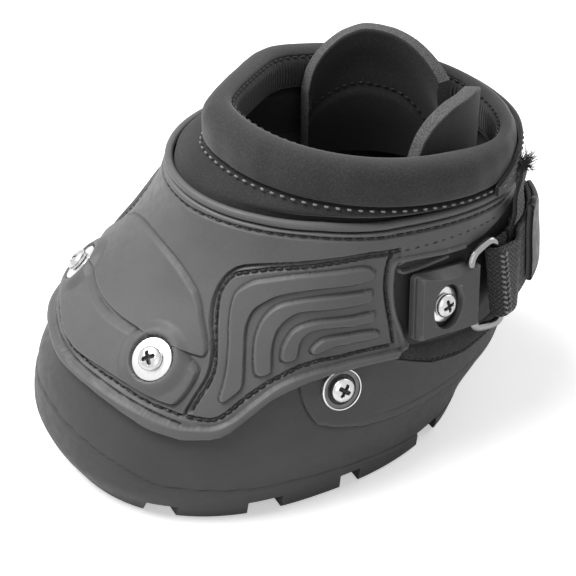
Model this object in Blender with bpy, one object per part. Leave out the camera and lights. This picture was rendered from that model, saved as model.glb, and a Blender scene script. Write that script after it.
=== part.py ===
"""Hoof boot for a horse: rubber shell, moulded gaiter, padded collar and strap closing.

Metres, +Z up. The toe points to -Y, the heel to +Y, and the closing bracket is on +X.
The origin is on the ground, under the middle of the boot.
"""

import math

import bmesh
import bpy
from mathutils import Matrix, Vector

# The boot's wall, as level outlines at these heights above the ground.
WALL_HEIGHTS = [0.0, 0.012, 0.025, 0.040, 0.055, 0.070, 0.085, 0.100]
HALF_WIDTHS = [0.0596, 0.0615, 0.0632, 0.0603, 0.0554, 0.0511, 0.0477, 0.0449]
TOE_REACHES = [0.0694, 0.0751, 0.0735, 0.0655, 0.0505, 0.0345, 0.0242, 0.0202]
HEEL_REACHES = [0.0770, 0.0860, 0.0970, 0.1005, 0.0995, 0.0975, 0.0963, 0.0956]
WIDEST_PLACES = [-0.002, -0.006, -0.006, -0.002, 0.006, 0.014, 0.024, 0.032]
TAPER_SHARES = [0.06, 0.10, 0.12, 0.10, 0.06, 0.03, 0.0, 0.0]
TOE_POWERS = [2.35, 2.25, 2.1, 2.0, 2.0, 2.0, 2.0, 2.0]
HEEL_POWER = 2.3

# From the hoof's own middle, where the outlines are measured, to the frame's origin.
FRAME_SHIFT_Y = -0.0169

# The seam under the padded roll: above the gaiter's top, flared out from the wall, leaning to the heel.
SEAM_RISE = 0.0069
SEAM_LEAN_SHARE = 0.134
SEAM_FLARE = 0.0066
SEAM_TOE = 0.0122
SEAM_HEEL = 0.0969
SEAM_WIDEST = 0.0416
SEAM_POWER = 2.1
SEAM_FAR_DRAW = 0.7
SEAM_DRAW_EASE = 0.75

# The padded roll.
ROLL_THICKNESS = 0.0125
ROLL_BACK_THICKNESS = 0.0070
ROLL_SLIM_START = 100.0
ROLL_SLIM_END = 135.0
ROLL_RISE = 0.0150
ROLL_POWER = 2.4

# Clearances between neighbours.
TOUCH_GAP = 0.0003
HOLE_GAP = 0.0003
CUT_OVERRUN = 0.004

# The shell.
SHELL_WALL = 0.0055
SHELL_FLOOR = 0.010
SHELL_TOP_ANGLES = [0.0, 75.0, 97.0, 112.0, 125.0, 180.0]
SHELL_TOP_HEIGHTS = [0.0600, 0.0580, 0.0470, 0.0355, 0.0315, 0.0275]
SHELL_TOP = list(zip(SHELL_TOP_ANGLES, SHELL_TOP_HEIGHTS))

# The tread: gaps between the lugs along each side, and the hollow in the middle.
LUG_HEIGHT = 0.005
LUG_LENGTH = 0.020
LUG_GAPS = [(-0.0575, -0.0490), (-0.0278, -0.0160), (0.0056, 0.0134), (0.0399, 0.0504)]
TREAD_HOLLOW_HALF_WIDTH = 0.034
TREAD_HOLLOW_TOE = 0.036
TREAD_HOLLOW_HEEL = 0.058
TREAD_HOLLOW_DEPTH = 0.003
TREAD_CORNER = 0.012
ROCKER_START = 0.047
ROCKER_RISE = 0.0065
ROCKER_LENGTH = 0.026
HEEL_NOTCH_HALF_WIDTH = 0.016

# The heel counter, on its seat in the shell.
COUNTER_THICKNESS = 0.0025
SEAT_TURN = 0.4
COUNTER_LOWER_ANGLES = [79.0, 80.6, 82.6, 85.6, 89.0, 92.4, 97.8, 105.0, 112.0, 180.0]
COUNTER_LOWER_HEIGHTS = [0.0501, 0.0470, 0.0435, 0.0388, 0.0345, 0.0305, 0.0270, 0.0248, 0.0240, 0.0215]
COUNTER_LOWER = list(zip(COUNTER_LOWER_ANGLES, COUNTER_LOWER_HEIGHTS))
COUNTER_UPPER_ANGLES = [79.0, 96.0, 98.0, 112.0, 122.5, 143.0, 180.0]
COUNTER_UPPER_HEIGHTS = [0.0600, 0.0600, 0.0490, 0.0386, 0.0345, 0.0320, 0.0310]
COUNTER_UPPER = list(zip(COUNTER_UPPER_ANGLES, COUNTER_UPPER_HEIGHTS))

# The gaiter.
GAITER_THICKNESS = 0.0027
GAITER_LIP = 0.0012
GAITER_LIP_HEIGHT = 0.0045
GAITER_END = 150.0
GAITER_LOWER_ANGLES = [
    0.0, 10.0, 22.0, 32.5, 41.0, 53.0, 58.2, 59.8, 65.0, 68.6, 73.0, 76.6, 82.0, 91.0, 99.0, 103.0,
    106.0, 115.0, 129.0, 150.0, 180.0,
]
GAITER_LOWER_HEIGHTS = [
    0.0435, 0.0431, 0.0419, 0.0397, 0.0374, 0.0348, 0.0352, 0.0391, 0.0415, 0.0449, 0.0508, 0.0532,
    0.0550, 0.0561, 0.0540, 0.0500, 0.0485, 0.0454, 0.0415, 0.0395, 0.0390,
]
GAITER_LOWER = list(zip(GAITER_LOWER_ANGLES, GAITER_LOWER_HEIGHTS))
GAITER_UPPER_ANGLES = [0.0, 40.0, 64.0, 91.0, 108.0, 133.0, 180.0]
GAITER_UPPER_HEIGHTS = [0.0945, 0.0940, 0.0930, 0.0902, 0.0876, 0.0840, 0.0818]
GAITER_UPPER = list(zip(GAITER_UPPER_ANGLES, GAITER_UPPER_HEIGHTS))
GAITER_ROWS = 4
GAITER_ROW_POWER = 1.3
RECESS_START = 97.4
RECESS_STEP = 0.8
RECESS_MIDDLE = 0.0655
RECESS_LEAN_SHARE = 4.9
RECESS_LEAN_TOP = 0.0158
RECESS_LEAN_REACH = 11.0
RECESS_DEPTH = 0.0012
RECESS_TOP = 0.0065
PIPING_RADIUS = 0.0016
PIPING_SIDES = 6

# The raised screw pad over the toe.
PAD_HALF_ANGLE = 45.0
PAD_LOWER = 0.0471
PAD_UPPER = 0.0587
PAD_RAISE = 0.0012
SEAT_DEPTH = 0.0011

# The raised bands on each side, from the foot of each round its corner to its rear end.
RIB_RAISE = 0.0010
RIB_SLOPE = 0.0006
RIB_WIDTHS = [0.0050, 0.0044, 0.0038, 0.0032]
RIB_ANGLES = [
    [57.9, 55.1, 49.0, 46.5, 46.8, 53.0, 67.7, 88.8],
    [65.2, 61.2, 58.8, 60.9, 67.5, 79.2, 91.0],
    [70.4, 69.7, 70.8, 75.0, 84.0, 92.7],
    [77.8, 81.5, 87.0, 94.0],
]
RIB_HEIGHTS = [
    [0.0504, 0.0570, 0.0658, 0.0717, 0.0752, 0.0786, 0.0800, 0.0792],
    [0.0556, 0.0610, 0.0670, 0.0708, 0.0732, 0.0733, 0.0721],
    [0.0592, 0.0624, 0.0654, 0.0671, 0.0670, 0.0654],
    [0.0600, 0.0611, 0.0610, 0.0597],
]

# The elastic strip over the heel.
BINDING_THICKNESS = 0.0026
BINDING_START = 99.0

# The neoprene sleeve and its lower heel panel.
COLLAR_THICKNESS = 0.0028
COLLAR_LOWER_ANGLES = [0.0, 126.0, 140.0, 180.0]
COLLAR_LOWER_HEIGHTS = [0.0800, 0.0770, 0.0450, 0.0425]
COLLAR_LOWER = list(zip(COLLAR_LOWER_ANGLES, COLLAR_LOWER_HEIGHTS))
COLLAR_BULGE = 0.0010

# The foam flaps inside the collar, by their angle round the collar.
FLAP_THICKNESS = 0.0044
FLAP_GAP = 0.0006
FLAP_BOTTOM = 0.072
FLAP_FOLD_PLACE = 0.080
HEEL_FLAP_TOP_ANGLES = [-172.0, -166.0, -157.0, -147.0, -135.0, -122.0, -111.0, -103.0, -97.0, -92.0, -90.0]
HEEL_FLAP_TOP_HEIGHTS = [
    0.1060, 0.1095, 0.1135, 0.1170, 0.1195, 0.1205, 0.1185, 0.1150, 0.1110, 0.1050, 0.0980,
]
HEEL_FLAP_TOP = list(zip(HEEL_FLAP_TOP_ANGLES, HEEL_FLAP_TOP_HEIGHTS))
SIDE_FLAP_TOP_ANGLES = [90.0, 91.8, 96.1, 103.8, 115.6, 130.8, 147.0, 157.0, 166.0, 172.0]
SIDE_FLAP_TOP_HEIGHTS = [0.0985, 0.1055, 0.1130, 0.1180, 0.1205, 0.1198, 0.1170, 0.1135, 0.1095, 0.1060]
SIDE_FLAP_TOP = list(zip(SIDE_FLAP_TOP_ANGLES, SIDE_FLAP_TOP_HEIGHTS))

# The collar's overlapping end, outside the roll at the heel.
CLOSURE_THICKNESS = 0.0014
CLOSURE_GAP = 0.0006
CLOSURE_TOP_ANGLES = [118.0, 126.0, 138.0, 165.0, 200.0, 222.0]
CLOSURE_TOP_HEIGHTS = [0.0020, 0.0050, 0.0090, 0.0120, 0.0120, 0.0030]
CLOSURE_TOP = list(zip(CLOSURE_TOP_ANGLES, CLOSURE_TOP_HEIGHTS))
CLOSURE_DROP = 0.0015

# Fasteners.
WASHER_RADIUS = 0.0077
WASHER_THICKNESS = 0.0010
WASHER_SEAT_RADIUS = 0.0089
SCREW_RADIUS = 0.0020
HEAD_RADIUS = 0.0042
HEAD_HEIGHT = 0.0028
HEAD_CROWN_SHARE = 0.72
HEAD_SHOULDER_SHARE = 0.9
HEAD_RIM_SHARE = 0.55
NUT_FLANGE_RADIUS = 0.0060
NUT_FLANGE_THICKNESS = 0.0010
NUT_BARREL_RADIUS = 0.0033
SHELL_NUT_BARREL = 0.0022
GAITER_NUT_BARREL = 0.0004
NUT_SINK = 0.0005
NUT_PAD_RADIUS = 0.0068
FRONT_SCREW_ANGLE = 31.9
FRONT_SCREW_HEIGHT = 0.0512
REAR_SCREW_ANGLE = 92.0
REAR_SCREW_HEIGHT = 0.0431
TURNED_SIDES = 16

# The closing bracket: a plate folded round the ring's near bar.
BRACKET_ANGLE = 110.6
BRACKET_PLACE = 0.0592
BRACKET_AHEAD = 0.0140
BRACKET_HEIGHT = 0.0246
BRACKET_NOSE = 0.0042
BRACKET_WEB = 0.0012
BRACKET_BEVEL = 0.0010
ACCESS_LENGTH = 0.0140
ACCESS_HEIGHT = 0.0150
BRACKET_WASHER_RADIUS = 0.0062

# The wire ring, from its near bar in the bracket to its far bar in the strap.
WIRE_RADIUS = 0.0015
WIRE_SIDES = 8
BAR_CLEARANCE = 0.0004
BARREL_WALL = 0.0012
NEAR_BAR_PLACE = 0.0130
FAR_BAR_ANGLE = 125.8
FAR_BAR_OFFSET = 0.0077
RING_HALF_HEIGHT = 0.0150
RING_CORNER = 0.0024

# The strap: a standing length from the far side, and a tail that loops round the ring.
WEB_WIDTH = 0.0254
WEB_THICKNESS = 0.0016
STRAP_PLACE = BRACKET_PLACE
STRAP_OFFSET = 0.0040
TAIL_OFFSET = 0.0066
LOOP_END = 132.8
LOOP_LEAD = 4.0
TAIL_SETTLE = 8.0
STANDING_START = 134.3
TAIL_END = 172.0
ANCHOR_TAIL = 103.0
TAB_OFFSET = 0.0088
TAB_THICKNESS = 0.0021
TAB_LOWER = 0.0490
TAB_UPPER = 0.0790
TAB_START = 141.0
TAB_END = 168.0
PULL_THICKNESS = 0.0014
PULL_START = 133.0
PULL_END = 140.0
PULL_LOWER = 0.0745
PULL_OFFSET = 0.0062
PULL_RISE = 0.0035
PULL_STAND_OFF = 0.0028

# How finely round things are cut up.
COLUMN_STEP = 7.5
FINE_STEP = 4.0
ROLL_SIDES = 12


def pivot(name, frame, pieces):
    """An empty on a joint's axis, which carries the pieces that turn about it."""
    empty = bpy.data.objects.new(name, None)
    empty.matrix_world = frame
    bpy.context.scene.collection.objects.link(empty)
    for piece in pieces:
        piece.parent = empty
        piece.matrix_parent_inverse = frame.inverted()


def clear_scene():
    """Start from an empty scene."""
    for item in list(bpy.data.objects):
        bpy.data.objects.remove(item, do_unlink=True)


def material(name, colour, roughness, metallic=0.0):
    """One plain material for one sub-part."""
    made = bpy.data.materials.new(name)
    made.use_nodes = True
    shader = made.node_tree.nodes["Principled BSDF"]
    shader.inputs["Base Color"].default_value = (*colour, 1.0)
    shader.inputs["Roughness"].default_value = roughness
    shader.inputs["Metallic"].default_value = metallic
    return made


RUBBER = (0.075, 0.076, 0.078)
SOFT = (0.035, 0.035, 0.036)
FOAM = (0.055, 0.055, 0.057)
WEBBING = (0.030, 0.030, 0.031)
STEEL = (0.62, 0.62, 0.63)


def object_from(name, mesh_data, made_material, smooth=True):
    """Turn a bmesh into a named object with flat triangles that face outwards."""
    bmesh.ops.triangulate(mesh_data, faces=mesh_data.faces)
    bmesh.ops.recalc_face_normals(mesh_data, faces=mesh_data.faces)
    if mesh_data.calc_volume(signed=True) < 0:
        bmesh.ops.reverse_faces(mesh_data, faces=mesh_data.faces)
    mesh = bpy.data.meshes.new(name)
    mesh_data.to_mesh(mesh)
    mesh_data.free()
    mesh.materials.append(made_material)
    if smooth:
        mesh.shade_smooth()
        mesh.set_sharp_from_angle(angle=math.radians(40))
    made = bpy.data.objects.new(name, mesh)
    bpy.context.scene.collection.objects.link(made)
    return made


def slopes_of(places, values):
    """Slopes at the stations that keep a curve through them from overshooting."""
    steps = [b - a for a, b in zip(places, places[1:])]
    rises = [(b - a) / step for a, b, step in zip(values, values[1:], steps)]
    slopes = [rises[0]]
    for before, after in zip(rises, rises[1:]):
        level = before * after <= 0
        slopes.append(0.0 if level else 2 * before * after / (before + after))
    slopes.append(rises[-1])
    return slopes


def smooth_value(places, values, place):
    """The value at a place, on a smooth curve through every station."""
    if place <= places[0]:
        return values[0]
    if place >= places[-1]:
        return values[-1]
    index = max(i for i, low in enumerate(places[:-1]) if low <= place)
    slopes = slopes_of(places, values)
    step = places[index + 1] - places[index]
    t = (place - places[index]) / step
    start = (1 + 2 * t) * (1 - t) ** 2 * values[index] + t * (1 - t) ** 2 * step * slopes[index]
    end = t * t * (3 - 2 * t) * values[index + 1] - t * t * (1 - t) * step * slopes[index + 1]
    return start + end


def edge_height(table, angle):
    """Height of an edge at an angle round the boot, from its table of corners."""
    turned = abs(angle)
    for (low, start), (high, end) in zip(table, table[1:]):
        if turned <= high:
            share = max(0.0, (turned - low) / (high - low))
            return start + (end - start) * share
    return table[-1][1]


def signed_power(value, power):
    """A power that keeps the sign of its base."""
    return math.copysign(abs(value) ** power, value)


def wall_sizes(height):
    """Half width, toe reach, heel reach, widest place, taper and toe power at a height."""
    tables = (HALF_WIDTHS, TOE_REACHES, HEEL_REACHES, WIDEST_PLACES, TAPER_SHARES, TOE_POWERS)
    return [smooth_value(WALL_HEIGHTS, table, height) for table in tables]


def wall_point(angle, height, offset=0.0):
    """A point on the boot's wall: angle 0 at the toe, 90 on +X, 180 at the heel."""
    half_width, toe, heel, widest, taper, toe_power = wall_sizes(height)
    across = math.sin(math.radians(angle))
    along = math.cos(math.radians(angle))
    if along >= 0:
        x = (half_width + offset) * signed_power(across, 2 / toe_power)
        y = widest - (widest + toe + offset) * along ** (2 / toe_power)
    else:
        back = abs(along) ** (2 / HEEL_POWER)
        x = (half_width + offset) * signed_power(across, 2 / HEEL_POWER)
        x *= 1 - taper * back * back
        y = widest + (heel + offset - widest) * back
    return Vector((x, y + FRAME_SHIFT_Y, height))


def seam_power(angle):
    """How full the seam's curve is: less so in its far front quarter, which is drawn in."""
    across, along = math.sin(math.radians(angle)), math.cos(math.radians(angle))
    if across < 0 < along:
        return SEAM_POWER - SEAM_FAR_DRAW * abs(math.sin(math.radians(2 * angle))) ** SEAM_DRAW_EASE
    return SEAM_POWER


def seam_point(angle, inward=0.0, rise=0.0):
    """A point of the collar's seam line, moved inward and up by the given amounts."""
    across = signed_power(math.sin(math.radians(angle)), 2 / seam_power(angle))
    along = signed_power(math.cos(math.radians(angle)), 2 / seam_power(angle))
    reach = SEAM_TOE + SEAM_WIDEST if along >= 0 else SEAM_HEEL - SEAM_WIDEST
    x = (HALF_WIDTHS[-1] + SEAM_FLARE - inward) * across
    y = SEAM_WIDEST - (reach - inward) * along
    level = GAITER_UPPER_HEIGHTS[0] + SEAM_RISE
    height = level - SEAM_LEAN_SHARE * (SEAM_WIDEST - reach * along) + rise
    return Vector((x, y + FRAME_SHIFT_Y, height))


def wall_frame(angle, height, offset):
    """A frame on the wall: X towards the heel, Y up the wall, Z straight out of it."""
    small_turn = 0.5
    small_rise = WALL_HEIGHTS[1] / 8
    turn = 1 if angle > 0 else -1
    heelward = wall_point(angle + small_turn * turn, height) - wall_point(angle - small_turn * turn, height)
    upward = wall_point(angle, height + small_rise) - wall_point(angle, height - small_rise)
    out = heelward.cross(upward) * turn
    out.normalize()
    level = Vector((heelward.x, heelward.y, 0.0)).normalized()
    level = (level - out * level.dot(out)).normalized()
    up = out.cross(level)
    frame = Matrix((level, up, out)).transposed().to_4x4()
    frame.translation = wall_point(angle, height, offset)
    return frame


def spread(start, end, step, extras=()):
    """Angles from start to end: the even steps round the boot, and the extra ones."""
    crowded = step / 3
    angles = sorted(set([start, end] + [extra for extra in extras if start < extra < end]))
    marks = list(angles)
    for i in range(math.ceil(start / step), math.floor(end / step) + 1):
        if all(abs(i * step - mark) > crowded for mark in marks):
            angles.append(i * step)
    return sorted(angles)


def both_sides(table):
    """The corner angles of a table, on both sides of the toe."""
    return [side * angle for angle, _ in table for side in (-1, 1)]


def quad_strip(mesh_data, first, second, closed):
    """Faces between two rows of vertices."""
    count = len(first) if closed else len(first) - 1
    for i in range(count):
        j = (i + 1) % len(first)
        mesh_data.faces.new((first[i], first[j], second[j], second[i]))


def sheet_solid(name, columns, made_material, closed=False):
    """A closed solid whose columns each run up its outer face and down its inner one."""
    mesh_data = bmesh.new()
    grid = [[mesh_data.verts.new(point) for point in column] for column in columns]
    pairs = list(zip(grid, grid[1:]))
    if closed:
        pairs.append((grid[-1], grid[0]))
    for left, right in pairs:
        quad_strip(mesh_data, left, right, closed=True)
    if not closed:
        mesh_data.faces.new(grid[0])
        mesh_data.faces.new(list(reversed(grid[-1])))
    return object_from(name, mesh_data, made_material)


def layer(name, made_material, angles, lower, upper, inner, outer, rows=5, closed=False, place=wall_point):
    """A sheet on the wall between two edges, with its own inner and outer offset at each spot."""
    columns = []
    for angle in angles:
        low, high = lower(angle), upper(angle)
        heights = [low + (high - low) * i / rows for i in range(rows + 1)]
        column = [place(angle, height, outer(angle, height)) for height in heights]
        column += [place(angle, height, inner(angle, height)) for height in reversed(heights)]
        columns.append(column)
    return sheet_solid(name, columns, made_material, closed)


def cut_away(target, cutter, operation="DIFFERENCE"):
    """Cut one object by another, which is hidden from the finished model."""
    cutter.hide_render = True
    cutter.display_type = "WIRE"
    cut = target.modifiers.new(cutter.name, "BOOLEAN")
    cut.operation = operation
    cut.object = cutter


def box_object(name, low, high, made_material):
    """A plain block between two corners."""
    mesh_data = bmesh.new()
    bmesh.ops.create_cube(mesh_data, size=1.0)
    for vertex in mesh_data.verts:
        share = vertex.co + Vector((0.5, 0.5, 0.5))
        vertex.co = Vector(a + (b - a) * s for a, b, s in zip(low, high, share))
    return object_from(name, mesh_data, made_material, smooth=False)


def outline_block(name, outline, low, high, made_material):
    """A block with the given outline, from one height to another."""
    mesh_data = bmesh.new()
    floor = mesh_data.faces.new([mesh_data.verts.new((x, y, low)) for x, y in outline])
    grown = bmesh.ops.extrude_face_region(mesh_data, geom=[floor])
    for item in grown["geom"]:
        if isinstance(item, bmesh.types.BMVert):
            item.co.z = high
    return object_from(name, mesh_data, made_material, smooth=False)


def rounded_outline(half_x, half_y, corner, steps=5, centre=(0.0, 0.0)):
    """An outline with round corners."""
    points = []
    for quarter, (sx, sy) in enumerate(((1, 1), (-1, 1), (-1, -1), (1, -1))):
        for i in range(steps + 1):
            turn = math.radians(90 * (quarter + i / steps))
            x = centre[0] + sx * (half_x - corner) + corner * math.cos(turn)
            y = centre[1] + sy * (half_y - corner) + corner * math.sin(turn)
            points.append((x, y))
    return points


def turned(name, profile, frame, made_material, sides=TURNED_SIDES, closed_profile=False):
    """A round piece: a profile of radius and height, turned about its own Z axis."""
    mesh_data = bmesh.new()
    rings = []
    for radius, height in profile:
        if radius == 0:
            rings.append([mesh_data.verts.new((0, 0, height))])
            continue
        ring = []
        for i in range(sides):
            turn = 2 * math.pi * i / sides
            ring.append(mesh_data.verts.new((radius * math.cos(turn), radius * math.sin(turn), height)))
        rings.append(ring)
    pairs = list(zip(rings, rings[1:]))
    if closed_profile:
        pairs.append((rings[-1], rings[0]))
    for first, second in pairs:
        join_rings(mesh_data, first, second)
    made = object_from(name, mesh_data, made_material)
    made.matrix_world = frame
    return made


def join_rings(mesh_data, first, second):
    """Faces between two rings, either of which may be a single point."""
    if len(first) == 1:
        for i, vertex in enumerate(second):
            mesh_data.faces.new((first[0], vertex, second[(i + 1) % len(second)]))
    elif len(second) == 1:
        for i, vertex in enumerate(first):
            mesh_data.faces.new((second[0], first[(i + 1) % len(first)], vertex))
    else:
        quad_strip(mesh_data, first, second, closed=True)


def hole_cutter(name, frame, radius, depth, made_material, rise=CUT_OVERRUN):
    """A round cutter that runs down the frame's own Z axis."""
    profile = [(0, rise), (radius, rise), (radius, -depth), (0, -depth)]
    return turned(name, profile, frame, made_material)


# The shell


def shell_solid(made_material):
    """The rubber cup: wall, floor and ground face."""
    angles = spread(-180, 180, COLUMN_STEP, both_sides(SHELL_TOP))[:-1]
    outer_shares = (0.0, 0.08, 0.2, 0.32, 0.45, 0.6, 0.8, 1.0)
    inner_shares = (1.0, 0.75, 0.5, 0.25, 0.0)
    mesh_data = bmesh.new()
    rings = []
    for share in outer_shares:
        rings.append([wall_point(a, edge_height(SHELL_TOP, a) * share) for a in angles])
    for share in inner_shares:
        ring = []
        for a in angles:
            height = SHELL_FLOOR + (edge_height(SHELL_TOP, a) - SHELL_FLOOR) * share
            ring.append(wall_point(a, height, -SHELL_WALL))
        rings.append(ring)
    vertex_rings = [[mesh_data.verts.new(point) for point in ring] for ring in rings]
    for first, second in zip(vertex_rings, vertex_rings[1:]):
        quad_strip(mesh_data, first, second, closed=True)
    mesh_data.faces.new(vertex_rings[0])
    mesh_data.faces.new(vertex_rings[-1])
    return object_from("hoof_shell", mesh_data, made_material)


def lug_gap_cutters(made_material):
    """One block for each gap between the lugs, on both sides."""
    cutters = []
    for side in (-1, 1):
        for number, (start, end) in enumerate(LUG_GAPS):
            middle = (start + end) / 2
            edge = ground_half_width(middle)
            low_x, high_x = sorted((side * (edge - LUG_LENGTH), side * (edge + LUG_LENGTH)))
            low = (low_x, start + FRAME_SHIFT_Y, -CUT_OVERRUN)
            high = (high_x, end + FRAME_SHIFT_Y, LUG_HEIGHT)
            cutters.append(box_object(f"lug_gap_{number}_{side}", low, high, made_material))
    return cutters


def ground_half_width(place):
    """Half the width of the ground outline at a place along the boot."""
    half_width, toe, heel, widest, _, toe_power = wall_sizes(0.0)
    power = toe_power if place < widest else HEEL_POWER
    reach = widest + toe if place < widest else heel - widest
    share = min(1.0, abs(place - widest) / reach)
    return half_width * (1 - share ** power) ** (1 / power)


def tread_hollow_cutter(made_material):
    """The shallow hollow under the frog, open to the heel."""
    half_length = (TREAD_HOLLOW_TOE + TREAD_HOLLOW_HEEL) / 2
    middle = (TREAD_HOLLOW_HEEL - TREAD_HOLLOW_TOE) / 2 + FRAME_SHIFT_Y
    outline = rounded_outline(TREAD_HOLLOW_HALF_WIDTH, half_length, TREAD_CORNER, centre=(0.0, middle))
    return outline_block("tread_hollow", outline, -CUT_OVERRUN, TREAD_HOLLOW_DEPTH, made_material)


def heel_notch_cutter(made_material):
    """The gap between the two heel lugs."""
    low = (-HEEL_NOTCH_HALF_WIDTH, TREAD_HOLLOW_HEEL + FRAME_SHIFT_Y - CUT_OVERRUN, -CUT_OVERRUN)
    high = (HEEL_NOTCH_HALF_WIDTH, HEEL_REACHES[-1], LUG_HEIGHT)
    return box_object("heel_notch", low, high, made_material)


def rocker_cutter(made_material):
    """The wedge that lifts the toe of the tread off the ground."""
    start = -ROCKER_START + FRAME_SHIFT_Y
    end = start - ROCKER_LENGTH * 2
    side = HALF_WIDTHS[0] + CUT_OVERRUN
    mesh_data = bmesh.new()
    corners = [(start, 0.0), (end, ROCKER_RISE * 2), (end, -CUT_OVERRUN), (start, -CUT_OVERRUN)]
    left = [mesh_data.verts.new((-side, y, z)) for y, z in corners]
    right = [mesh_data.verts.new((side, y, z)) for y, z in corners]
    quad_strip(mesh_data, left, right, closed=True)
    mesh_data.faces.new(left)
    mesh_data.faces.new(list(reversed(right)))
    return object_from("rocker", mesh_data, made_material, smooth=False)


def counter_seat_cutter(made_material):
    """The seat that the heel counter lies in."""
    angles = heel_angles(COUNTER_LOWER[0][0] - SEAT_TURN, both_sides(COUNTER_LOWER) + both_sides(SHELL_TOP))

    def lower(angle):
        return edge_height(COUNTER_LOWER, fold(angle)) - TOUCH_GAP

    def upper(angle):
        return edge_height(SHELL_TOP, fold(angle)) + CUT_OVERRUN

    def inner(angle, height):
        return -COUNTER_THICKNESS - TOUCH_GAP

    def outer(angle, height):
        return CUT_OVERRUN

    return layer("counter_seat", made_material, angles, lower, upper, inner, outer, rows=3)


def fold(angle):
    """An angle counted the long way round, as one between -180 and 180."""
    turned_angle = angle % 360
    return turned_angle - 360 if turned_angle > 180 else turned_angle


def make_shell():
    """The shell with its tread, its counter seat and its screw holes."""
    rubber = material("shell_rubber", RUBBER, 0.55)
    shell = shell_solid(rubber)
    cut_away(shell, counter_seat_cutter(rubber))
    for cutter in lug_gap_cutters(rubber):
        cut_away(shell, cutter)
    cut_away(shell, tread_hollow_cutter(rubber))
    cut_away(shell, heel_notch_cutter(rubber))
    cut_away(shell, rocker_cutter(rubber))
    return shell


# The counter, the gaiter and the binding


def heel_angles(start, extras=()):
    """Angles from one side round the heel to the other, with the tables' corners put in."""
    return spread(start, 360 - start, COLUMN_STEP, [angle % 360 for angle in extras])


def make_counter():
    """The smooth wrap round the heel."""
    rubber = material("counter_rubber", RUBBER, 0.6)
    corners = both_sides(COUNTER_LOWER) + both_sides(COUNTER_UPPER)
    angles = heel_angles(COUNTER_LOWER[0][0], corners)
    return layer(
        "heel_counter", rubber, angles,
        lambda angle: edge_height(COUNTER_LOWER, fold(angle)),
        lambda angle: edge_height(COUNTER_UPPER, fold(angle)),
        lambda angle, height: -COUNTER_THICKNESS,
        lambda angle, height: 0.0,
        rows=4,
    )


def ramp(value, start, end):
    """0 before start, 1 after end, and smooth between them."""
    share = min(1.0, max(0.0, (value - start) / (end - start)))
    return share * share * (3 - 2 * share)


def gaiter_face(angle, height):
    """How far the gaiter's outer face stands off the wall."""
    low = edge_height(GAITER_LOWER, angle)
    high = edge_height(GAITER_UPPER, angle)
    face = TOUCH_GAP + GAITER_THICKNESS
    if abs(angle) < RECESS_START:
        face += GAITER_LIP * (1 - ramp(height, low + GAITER_LIP_HEIGHT / 2, low + GAITER_LIP_HEIGHT))
    else:
        face -= RECESS_DEPTH * (1 - ramp(height, high - RECESS_TOP * 2, high - RECESS_TOP))
    return face


def leaned(angle, height):
    """The angle of a spot on the gaiter's face, where the recess leans to the toe at its top."""
    high = edge_height(GAITER_UPPER, angle)
    nearness = 1 - ramp(abs(abs(angle) - RECESS_START), RECESS_STEP, RECESS_LEAN_REACH)
    nearness *= 1 - ramp(height, high - RECESS_TOP, high)
    lean = RECESS_LEAN_SHARE * (RECESS_MIDDLE - height) / RECESS_LEAN_TOP
    return angle + math.copysign(lean * nearness, angle)


def gaiter_solid(rubber):
    """The moulded upper without its raised parts."""
    marks = both_sides(GAITER_LOWER) + [RECESS_STEP - RECESS_START, RECESS_START - RECESS_STEP]
    angles = spread(-GAITER_END, GAITER_END, COLUMN_STEP, marks)
    columns = []
    for angle in angles:
        low, high = edge_height(GAITER_LOWER, angle), edge_height(GAITER_UPPER, angle)
        lip_top, recess_low = low + GAITER_LIP_HEIGHT, high - RECESS_TOP * 2
        shares = [(i / GAITER_ROWS) ** GAITER_ROW_POWER for i in range(GAITER_ROWS + 1)]
        middle = [lip_top + (recess_low - lip_top) * share for share in shares]
        outer = [low, low + GAITER_LIP_HEIGHT / 2] + middle + [high - RECESS_TOP, high]
        column = [wall_point(leaned(angle, height), height, gaiter_face(angle, height)) for height in outer]
        column += [wall_point(angle, height, TOUCH_GAP) for height in [high] + middle[::-1] + [low]]
        columns.append(column)
    return sheet_solid("front_gaiter", columns, rubber)


def rib_solid(number, side, rubber):
    """One raised band: a flat-topped bar along its middle line, sunk into the gaiter."""
    points = smooth_path(RIB_ANGLES[number], RIB_HEIGHTS[number])
    half = RIB_WIDTHS[number] / 2
    columns = []
    for i, (angle, height) in enumerate(points):
        before = points[max(0, i - 1)]
        after = points[min(len(points) - 1, i + 1)]
        here = wall_point(angle, height)
        run = (wall_point(*after) - wall_point(*before)).normalized()
        out = wall_frame(angle, height, 0.0).to_3x3().col[2]
        aside = run.cross(out).normalized()
        base = here + out * (TOUCH_GAP + GAITER_THICKNESS / 2)
        crest = here + out * (TOUCH_GAP + GAITER_THICKNESS + RIB_RAISE)
        section = [base + aside * half, crest + aside * (half - RIB_SLOPE),
                   crest - aside * (half - RIB_SLOPE), base - aside * half]
        columns.append([mirrored(point, side) for point in section])
    return sheet_solid(f"rib_{number}_{side}", columns, rubber)


def mirrored(point, side):
    """The point itself on +X, or its mirror image on -X."""
    if side > 0:
        return point
    return Vector((-point.x, point.y, point.z))


def smooth_path(angles, heights, steps=2):
    """A smooth run of angle and height pairs through the given corners."""
    marks = list(range(len(angles)))
    count = (len(angles) - 1) * steps
    path = []
    for i in range(count + 1):
        place = i / steps
        path.append((smooth_value(marks, angles, place), smooth_value(marks, heights, place)))
    return path


def washer_seat():
    """The height of the flat seats that the front washers lie on."""
    return TOUCH_GAP + GAITER_THICKNESS + PAD_RAISE - SEAT_DEPTH


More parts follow.
